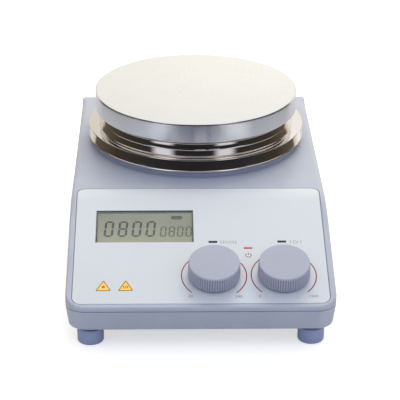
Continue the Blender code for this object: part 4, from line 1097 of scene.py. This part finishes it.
def build_knob(name):
    """A push-and-turn knob: ribbed side, soft shoulder, and a face that is very slightly domed."""
    rows = [
        (KNOB_HOLLOW, 0, KNOB_TOP - 2.4 * MM),
        (KNOB_HOLLOW, 0, KNOB_BOTTOM + 0.2 * MM),
        (KNOB_HOLLOW + 0.2 * MM, 0, KNOB_BOTTOM),
    ]
    for base, steps in ((KNOB_BOTTOM, KNOB_FOOT_ROWS), (KNOB_TOP, KNOB_TOP_ROWS)):
        rows += [(KNOB_RADIUS + out * MM, RIB_DEPTH * share, base + up * MM) for out, share, up in steps]
    rows.append((KNOB_RADIUS * 0.5, 0, KNOB_TOP - 0.02 * MM))
    bm = bmesh.new()
    rings = [[bm.verts.new(p) for p in knob_ring(*row)] for row in rows]
    for low, high in zip(rings, rings[1:]):
        bridge(bm, low, high)
    bm.faces.new(rings[0])
    bm.faces.new(rings[-1])
    here = panel_matrix(*panel_place(KNOB_SPOTS[name]), 0)
    knob = add_piece(f"{name}_dial_knob", bm, "knob", here, f"{name}_knob", f"{name}_control")
    hub = drum(5 * MM, 3.5 * MM, KNOB_TOP - 1.2 * MM)
    bore = drum(3.1 * MM, 0, KNOB_TOP - 1.6 * MM, 32)
    carve(knob, [join(hub, here), cut(bore, here)])
    weigh_normals(knob)


# -------- hot plate stack

PLATE_RIM = 0.55 * MM
PLATE_BORE = 60.5 * MM
PLATE_GROOVE = 1.35 * MM      # below the top
FLANGE_RISE = 8.6 * MM
NECK_RADIUS = 64.0 * MM
WAIST_RISE = 3.5 * MM
SHEET = 0.8 * MM


def build_plate():
    """The plate: a white ceramic face let into a turned metal body."""
    top = PLATE_HIGH.z
    bottom = PLATE_LOW.z
    radius = PLATE_HIGH.x
    rim = radius - PLATE_RIM
    here = at(PLATE_AXIS)
    face = [(0, top - 0.9 * MM)]
    face += near(rim, top, (0, -0.9), (0, -0.12), (-0.05, -0.03), (-0.2, 0)) + [(0, top)]
    add_piece("plate_face", turned(face), "ceramic", here)
    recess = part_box("heating_element")[1].z + 0.3 * MM
    groove = top - PLATE_GROOVE
    body = [(0, recess), (PLATE_BORE, recess), (PLATE_BORE, bottom)]
    body += near(radius, bottom, (-1.2, 0), (-0.95, 0.05), (-0.1, 0.85), (0, 1.1))
    body += near(radius, groove, (0, -0.2), (-0.06, -0.12), (-0.25, -0.1))
    body += near(radius, groove, (-0.25, 0.1), (-0.06, 0.12), (0, 0.2))
    body += near(radius, top, (0, -0.5), (-0.12, -0.22), (-0.35, -0.06))
    body += near(rim, top, (0.03, -0.03), (0.03, -0.93)) + [(0, top - 0.93 * MM)]
    plate = add_piece("plate_body", turned(body), "plate_side", here, "hot_plate")
    steps = [cut(drum(SCREW_HOLE, bottom - 1 * MM, top - 2.8 * MM), at(spot)) for spot in POST_SPOTS]
    steps.append(cut(drum(SCREW_HOLE, bottom - 1 * MM, top - 4 * MM), at(middle("plate_sensor"))))
    carve(plate, steps)
    weigh_normals(plate)


def build_pan():
    """The polished pan, pressed from one sheet: rolled foot, leaning skirt, flange and two-bead neck."""
    low = PAN_LOW.z
    top = PAN_HIGH.z
    outer = PAN_HIGH.x
    neck = NECK_RADIUS
    flange = low + FLANGE_RISE
    waist = flange + WAIST_RISE
    profile = near(outer, low, (-1.1, 0.1), (-0.55, 0), (-0.15, 0.12), (0, 0.45), (-0.15, 0.8), (-0.42, 1.0))
    profile += near(outer, flange, (-1.55, -1.1), (-1.3, -0.85), (-0.25, -0.7))
    profile += near(outer, flange, (0, -0.42), (-0.15, -0.12), (-0.5, 0))
    profile += near(neck, flange, (2.0, 0), (1.6, 0.08), (1.4, 0.4))
    profile += near(neck, waist, (0.5, -0.25), (0.42, -0.1), (0.48, 0.05), (0.9, 0.2), (0.95, 0.4), (0, 4.0))
    profile += near(neck, top, (-0.15, -0.15), (-0.35, 0), (-0.7, -0.15))
    profile += [(neck - SHEET, waist + 1 * MM), (neck - SHEET, flange - SHEET)]
    profile += [(outer - 2.4 * MM, flange - SHEET), (outer - 2.35 * MM, flange - 1.4 * MM)]
    add_piece("pan_shell", turned(profile), "stainless", at(PLATE_AXIS), "plate_pan")


# -------- feet and rear fittings

FOOT_WAIST = 2.4 * MM
FOOT_STEP = 2.2 * MM
FOOT_EDGE = 1.1 * MM
PIN_DEPTH = 14 * MM
ROCKER_WELL = (10.6 * MM, 16 * MM, 14 * MM)
SIGN_PLACE = (4.1 * MM, 3.32 * MM)     # along the rocker from its pivot, and out from it
ROCKER_TILT = math.radians(9)
SIGN_LEAN = math.atan2(3.7 - 2.6, 6.4)


def build_feet():
    """Rubber feet with a soft lower edge and a waist under the case."""
    for name, spot in FOOT_SPOTS.items():
        node = f"foot_{name}"
        low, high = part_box(node)
        radius = (high.x - low.x) / 2
        neck = BASE_BOTTOM - FOOT_WAIST
        profile = near(0, 0, (2, 3.6), (4, 3.6), (4, 0.2), (4.2, 0))
        profile += arc(radius - FOOT_EDGE, FOOT_EDGE, FOOT_EDGE, -90, -8, 5)
        profile.append((radius, neck - 0.9 * MM))
        profile += arc(radius - 0.5 * MM, neck - 0.5 * MM, 0.5 * MM, 20, 90, 4)
        profile += [(radius - FOOT_STEP, neck), (radius - FOOT_STEP, high.z), (2 * MM, high.z)]
        add_piece(f"rubber_{node}", turned(profile, 72), "foot", at(spot), node)


def wall_fitting(node):
    """Frame, size and reach of a fitting on the rear wall."""
    spot = middle(node)
    here = Matrix.Translation((spot.x, REAR, spot.z)) @ WALL_TURN
    return here, extent(node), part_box(node)[1].y - REAR


def build_inlet():
    """The mains inlet: soft flange, a cavity with two cut corners, and three blades."""
    here, size, reach = wall_fitting("power_inlet")
    flange = rounded_slab(size.x, size.z, 2.2 * MM, edge_layers(0.3 * MM, reach, 0.7 * MM, 4))
    inlet = add_piece("inlet_shell", flange, "dark", here, "power_inlet")
    body = box_shape((27.2 * MM, 20.2 * MM, 21 * MM), (0, 0, -9.7 * MM))
    cavity = bmesh.new()
    outline = near(0, 0, (-11, -7.5), (11, -7.5), (11, 3.4), (7.2, 7.5), (-7.2, 7.5), (-11, 3.4))
    add_polygon(cavity, outline, -PIN_DEPTH, 6 * MM)
    carve(inlet, [join(body, here), cut(cavity, here)])
    soften(inlet, 0.25 * MM)
    blades = bmesh.new()
    for x, y in ((-7, -1.6), (0, 2.0), (7, -1.6)):
        layers = [(0, -PIN_DEPTH), (0, -4 * MM), (0.3 * MM, -3.5 * MM)]
        blade = rounded_slab(2 * MM, 4 * MM, 0.4 * MM, layers)
        bmesh.ops.translate(blade, vec=(x * MM, y * MM, 0), verts=blade.verts)
        mesh = bpy.data.meshes.new("blade")
        blade.to_mesh(mesh)
        blade.free()
        blades.from_mesh(mesh)
        bpy.data.meshes.remove(mesh)
    add_piece("inlet_blades", blades, "brass", here)


def build_switch():
    """The rocker switch: framed well, curved rocker, and its two signs."""
    here, size, reach = wall_fitting("power_switch_frame")
    rim = rounded_slab(size.x, size.z, 1.6 * MM, edge_layers(0.3 * MM, reach, 0.6 * MM, 4))
    holder = add_piece("switch_frame", rim, "dark", here, "power_switch_frame")
    body = box_shape((13 * MM, 19 * MM, 14 * MM), (0, 0, -6.6 * MM))
    well = box_shape(ROCKER_WELL, (0, 0, -3.3 * MM))
    carve(holder, [join(body, here), cut(well, here)])
    soften(holder, 0.2 * MM)
    soften(frame["nodes"]["power_switch_rocker"], 0.5 * MM, 3, 25)
    on, off = bmesh.new(), bmesh.new()
    add_polygon(on, near(0, 0, (-0.3, -1.4), (0.3, -1.4), (0.3, 1.4), (-0.3, 1.4)))
    add_stroke(off, circle(1.2 * MM, 32), THIN_LINE, closed=True)
    pivot = Matrix.Translation(JOINTS["power_switch_rock"]["pos_m"])
    face = pivot @ (Matrix.Rotation(ROCKER_TILT, 4, "X") @ WALL_TURN)
    for name, bm, side in (("on", on, 1), ("off", off, -1)):
        along, out = SIGN_PLACE
        lift = Matrix.Translation((0, side * along, out)) @ Matrix.Rotation(side * SIGN_LEAN, 4, "X")
        add_piece(f"switch_sign_{name}", bm, "white_ink", face @ lift, body="rocker")


def build_probe_socket():
    """The round socket for an outside temperature probe, with five contacts and a key slot."""
    here, _, reach = wall_fitting("probe_socket")
    profile = [(0, -PIN_DEPTH), (6 * MM, -PIN_DEPTH), (6 * MM, 0.3 * MM), (8 * MM, 0.3 * MM)]
    profile += arc(7.4 * MM, reach - 0.6 * MM, 0.6 * MM, 0, 90, 4)
    profile += [(5.6 * MM, reach), (5.2 * MM, reach - 0.4 * MM), (5.2 * MM, -6 * MM), (0, -6 * MM)]
    weigh_normals(add_piece("socket_shell", turned(profile, 72), "steel", here, "probe_socket"))
    core = turned(near(0, 0, (0, -6), (4.9, -6), (4.9, -1.2), (4.7, -1), (0, -1)), 48)
    insert = add_piece("socket_insert", core, "dark", here)
    steps = []
    for angle in (0, 45, 90, 135, 180):
        a = math.radians(angle)
        spot = Matrix.Translation((3 * MM * math.cos(a), 3 * MM * math.sin(a) - 0.6 * MM, 0))
        steps.append(cut(drum(0.55 * MM, -4 * MM, 2 * MM, 20), here @ spot))
    steps.append(cut(box_shape((1.8 * MM, 1.6 * MM, 8 * MM), (0, -4.7 * MM, -1 * MM)), here))
    carve(insert, steps)


# -------- parts kept from the CAD

CAD_FINISHES = {
    "steel": (
        "heat_knob_shaft", "stir_knob_shaft", "heat_encoder_nut", "stir_encoder_nut", "heater_clamp_plate",
        "motor_bracket", "motor_shaft", "upper_bearing", "lower_bearing",
        *(f"plate_post_{number}" for number in (1, 2, 3)),
        *(f"post_screw_{number}" for number in (1, 2, 3)),
        *(f"foot_screw_{name}" for name in FOOT_SPOTS),
    ),
    "aluminium": ("heat_shield", "motor_housing", "magnet_carrier", "heat_sink", "safety_thermostat"),
    "stainless": ("plate_sensor",),
    "dark": ("heat_encoder", "stir_encoder", "power_module"),
    "board": ("display_board", "control_board"),
    "magnet": ("motor_rotor", "drive_magnet_1", "drive_magnet_2"),
    "copper": ("motor_stator", "heat_press_plunger", "stir_press_plunger"),
    "mica": ("heating_element",),
    "fibre": ("insulation_disc",),
    "cable": ("ribbon_cable", "heater_cable"),
    "rocker": ("power_switch_rocker",),
}


def finish_cad_nodes():
    """Give every CAD node that is still shown its own procedural finish."""
    for use, nodes in CAD_FINISHES.items():
        for node in nodes:
            for slot in frame["nodes"][node].material_slots:
                slot.material = MATERIALS[use]


# -------- stage

WHITE = (1.0, 1.0, 1.0, 1)

# Light that falls on the object, by height: (sine of the elevation, colour)
SKY_SPAN = (-0.1, 0.9)
FRONT_SKY = ((-0.1, (0.13, 0.16, 0.32)), (0.35, (0.68, 0.72, 0.88)), (0.9, (0.92, 0.94, 1.00)))
BACK_SKY = ((-0.1, (1.22, 1.02, 0.52)), (0.9, (1.02, 0.90, 0.64)))
SIDE_LEAN = 0.2

# What polished metal mirrors, round the room: (azimuth in degrees from the front, colour)
ROUND = (-180, 180)
ROOM = (
    (-180, (0.80, 0.76, 0.70)), (-150, (0.78, 0.73, 0.66)), (-139, (0.66, 0.59, 0.53)),
    (-135, (0.12, 0.10, 0.073)), (-94, (0.048, 0.037, 0.027)), (-54, (0.026, 0.025, 0.026)),
    (0, (0.018, 0.016, 0.017)), (54, (0.026, 0.025, 0.026)), (94, (0.048, 0.037, 0.027)),
    (127, (0.12, 0.10, 0.073)), (131, (0.68, 0.61, 0.55)), (145, (1.0, 0.98, 0.94)), (180, (1.0, 0.98, 0.94)),
)
TABLE = (
    (-180, (0.60, 0.60, 0.62)), (-129, (0.58, 0.58, 0.60)), (-99, (0.54, 0.55, 0.58)),
    (-62, (0.60, 0.61, 0.66)), (-46, (0.86, 0.88, 0.95)), (-36, (0.86, 0.88, 0.95)),
    (-20, (0.30, 0.31, 0.40)), (0, (0.14, 0.15, 0.22)), (20, (0.30, 0.31, 0.40)),
    (38, (1.0, 1.0, 1.0)), (50, (1.0, 1.0, 1.0)), (68, (0.55, 0.56, 0.61)),
    (100, (0.56, 0.57, 0.60)), (180, (0.60, 0.60, 0.62)),
)
CEILING = (
    (-110, (1.0, 0.98, 0.95)), (-90, (0.7, 0.7, 0.7)), (-60, (0.45, 0.46, 0.48)), (-48, (1.0, 1.0, 1.0)),
    (-34, (1.0, 1.0, 1.0)), (-24, (0.34, 0.34, 0.37)), (24, (0.34, 0.34, 0.37)), (34, (1.0, 1.0, 1.0)),
    (48, (1.0, 1.0, 1.0)), (60, (0.45, 0.46, 0.48)), (90, (0.7, 0.7, 0.7)), (110, (1.0, 0.98, 0.95)),
)
# Where one part of the sky or the room gives way to the next, by a direction's Y or by its height
BACK_BLEND = (-0.3, 0.6)
STRIP_FOOT = (0.02, 0.1)
TABLE_LINE = (-0.37, -0.31)
CEILING_LINE = (0.50, 0.62)

# Upright lamps in the mirrored room: (azimuth, half width, soft edge), in degrees
STRIPS = ((-40, 6, 11), (34, 5, 11))
STRIP_COLOUR = (0.72, 0.72, 0.80, 1)

FLOOR_SIZE = 6.0
FLOOR_GREY = (0.70, 0.70, 0.70)
FLOOR_GLOW = 0.56
LENS = 148.5
CAMERA_TURN = (1.33, 24.33, 0.32)      # yaw, pitch and roll, in degrees
CAMERA_PLACE = (-0.02099, FRONT - 0.85092, 0.48134)
LAMP_POWER = 9.5
LAMP_SIZE = 0.8
LAMP_COLOUR = (1.0, 0.94, 0.80)
LAMP_PLACE = (0.2, 0.75, 0.95)
LAMP_TARGET = (0, 0, 0.04)


def sweep(tree, value, stops, span):
    """Blend between colours placed along a value that runs over a span."""
    low, high = span
    places = [((place - low) / (high - low), (*colour, 1)) for place, colour in stops]
    return add_ramp(tree, map_range(tree, value, span), places)


def shading_sky(tree, split):
    """Soft light for shading: bluish from the front, warm from behind, more of it from the right."""
    front = sweep(tree, split["Z"], FRONT_SKY, SKY_SPAN)
    back = sweep(tree, split["Z"], BACK_SKY, SKY_SPAN)
    sky = mix_colour(tree, add_step(tree, split["Y"], BACK_BLEND), front, back)
    return add_scale(tree, sky, add_math(tree, "MULTIPLY_ADD", split["X"], SIDE_LEAN, 1.0))


def mirrored_room(tree, split):
    """What reflections see: a dark room in front, bright walls behind, a pale table and a ceiling."""
    height = split["Z"]
    forward = add_math(tree, "MULTIPLY", split["Y"], -1.0)
    azimuth = add_math(tree, "DEGREES", add_math(tree, "ARCTAN2", split["X"], forward))
    lamps = 0.0
    for strip in STRIPS:
        lamps = add_math(tree, "MAXIMUM", lamps, add_band(tree, azimuth, *strip))
    lamps = add_math(tree, "MULTIPLY", lamps, add_step(tree, height, STRIP_FOOT))
    room = mix_colour(tree, lamps, sweep(tree, azimuth, ROOM, ROUND), STRIP_COLOUR)
    table = sweep(tree, azimuth, TABLE, ROUND)
    room = mix_colour(tree, add_step(tree, height, TABLE_LINE), table, room)
    return mix_colour(tree, add_step(tree, height, CEILING_LINE), room, sweep(tree, azimuth, CEILING, ROUND))


def build_world():
    """White for the camera, a soft sky for shading, and a studio room for reflections."""
    world = bpy.data.worlds.new("studio")
    bpy.context.scene.world = world
    world.use_nodes = True
    tree = world.node_tree
    split = add_split(tree, add_coords(tree, "Generated"))
    path = add_node(tree, "LightPath").outputs
    seen = mix_colour(tree, path["Is Glossy Ray"], shading_sky(tree, split), mirrored_room(tree, split))
    seen = mix_colour(tree, path["Is Camera Ray"], seen, WHITE)
    tree.links.new(seen, tree.nodes["Background"].inputs["Color"])


def build_floor():
    """A plain pale floor that shows a soft shadow."""
    bm = bmesh.new()
    bmesh.ops.create_grid(bm, x_segments=1, y_segments=1, size=FLOOR_SIZE)
    mesh = bpy.data.meshes.new("floor")
    bm.to_mesh(mesh)
    bm.free()
    floor = link("floor", mesh)
    mat, tree, shader = new_material("floor_white")
    share = spread_noise(tree, add_noise(tree, add_coords(tree, "Object"), 300 * MM), 0.995, 1.0)
    diffuse = add_node(tree, "BsdfDiffuse", {"Color": add_scale(tree, FLOOR_GREY, share)})
    seen = add_node(tree, "LightPath").outputs["Is Camera Ray"]
    glow = add_node(tree, "Emission", {"Strength": add_math(tree, "MULTIPLY", seen, FLOOR_GLOW)})
    both = add_node(tree, "AddShader", {0: diffuse.outputs["BSDF"], 1: glow.outputs["Emission"]})
    set_surface(tree, shader, both.outputs["Shader"])
    mesh.materials.append(mat)
    floor.visible_glossy = False


def build_camera():
    """A long lens, looking down at the front of the object."""
    yaw, pitch, roll = (math.radians(a) for a in CAMERA_TURN)
    forward = Vector((math.sin(yaw) * math.cos(pitch), math.cos(yaw) * math.cos(pitch), -math.sin(pitch)))
    level = Vector((math.cos(yaw), -math.sin(yaw), 0))
    upward = level.cross(forward)
    right = level * math.cos(roll) + upward * math.sin(roll)
    up = upward * math.cos(roll) - level * math.sin(roll)
    data = bpy.data.cameras.new("camera")
    data.lens = LENS
    data.sensor_width = 36
    camera = link("camera", data)
    turn = Matrix((right, up, -forward)).transposed().to_4x4()
    camera.matrix_world = Matrix.Translation(CAMERA_PLACE) @ turn
    bpy.context.scene.camera = camera


def build_lamp():
    """A soft square lamp over the rear that lights the object and isn't mirrored in it."""
    data = bpy.data.lights.new("overhead", "AREA")
    data.energy = LAMP_POWER
    data.size = LAMP_SIZE
    data.color = LAMP_COLOUR
    lamp = link("overhead", data)
    lamp.location = LAMP_PLACE
    lamp.rotation_euler = (Vector(LAMP_TARGET) - Vector(LAMP_PLACE)).to_track_quat("-Z", "Y").to_euler()
    lamp.visible_glossy = False


def main():
    """Build every piece and the stage round it."""
    build_housing()
    build_base()
    build_panel()
    build_display()
    build_marks()
    build_indicators()
    for name in KNOB_SPOTS:
        build_knob(name)
    build_plate()
    build_pan()
    build_feet()
    build_inlet()
    build_switch()
    build_probe_socket()
    finish_cad_nodes()
    build_world()
    build_floor()
    build_camera()
    build_lamp()
    bpy.context.scene.view_settings.view_transform = "Standard"


main()
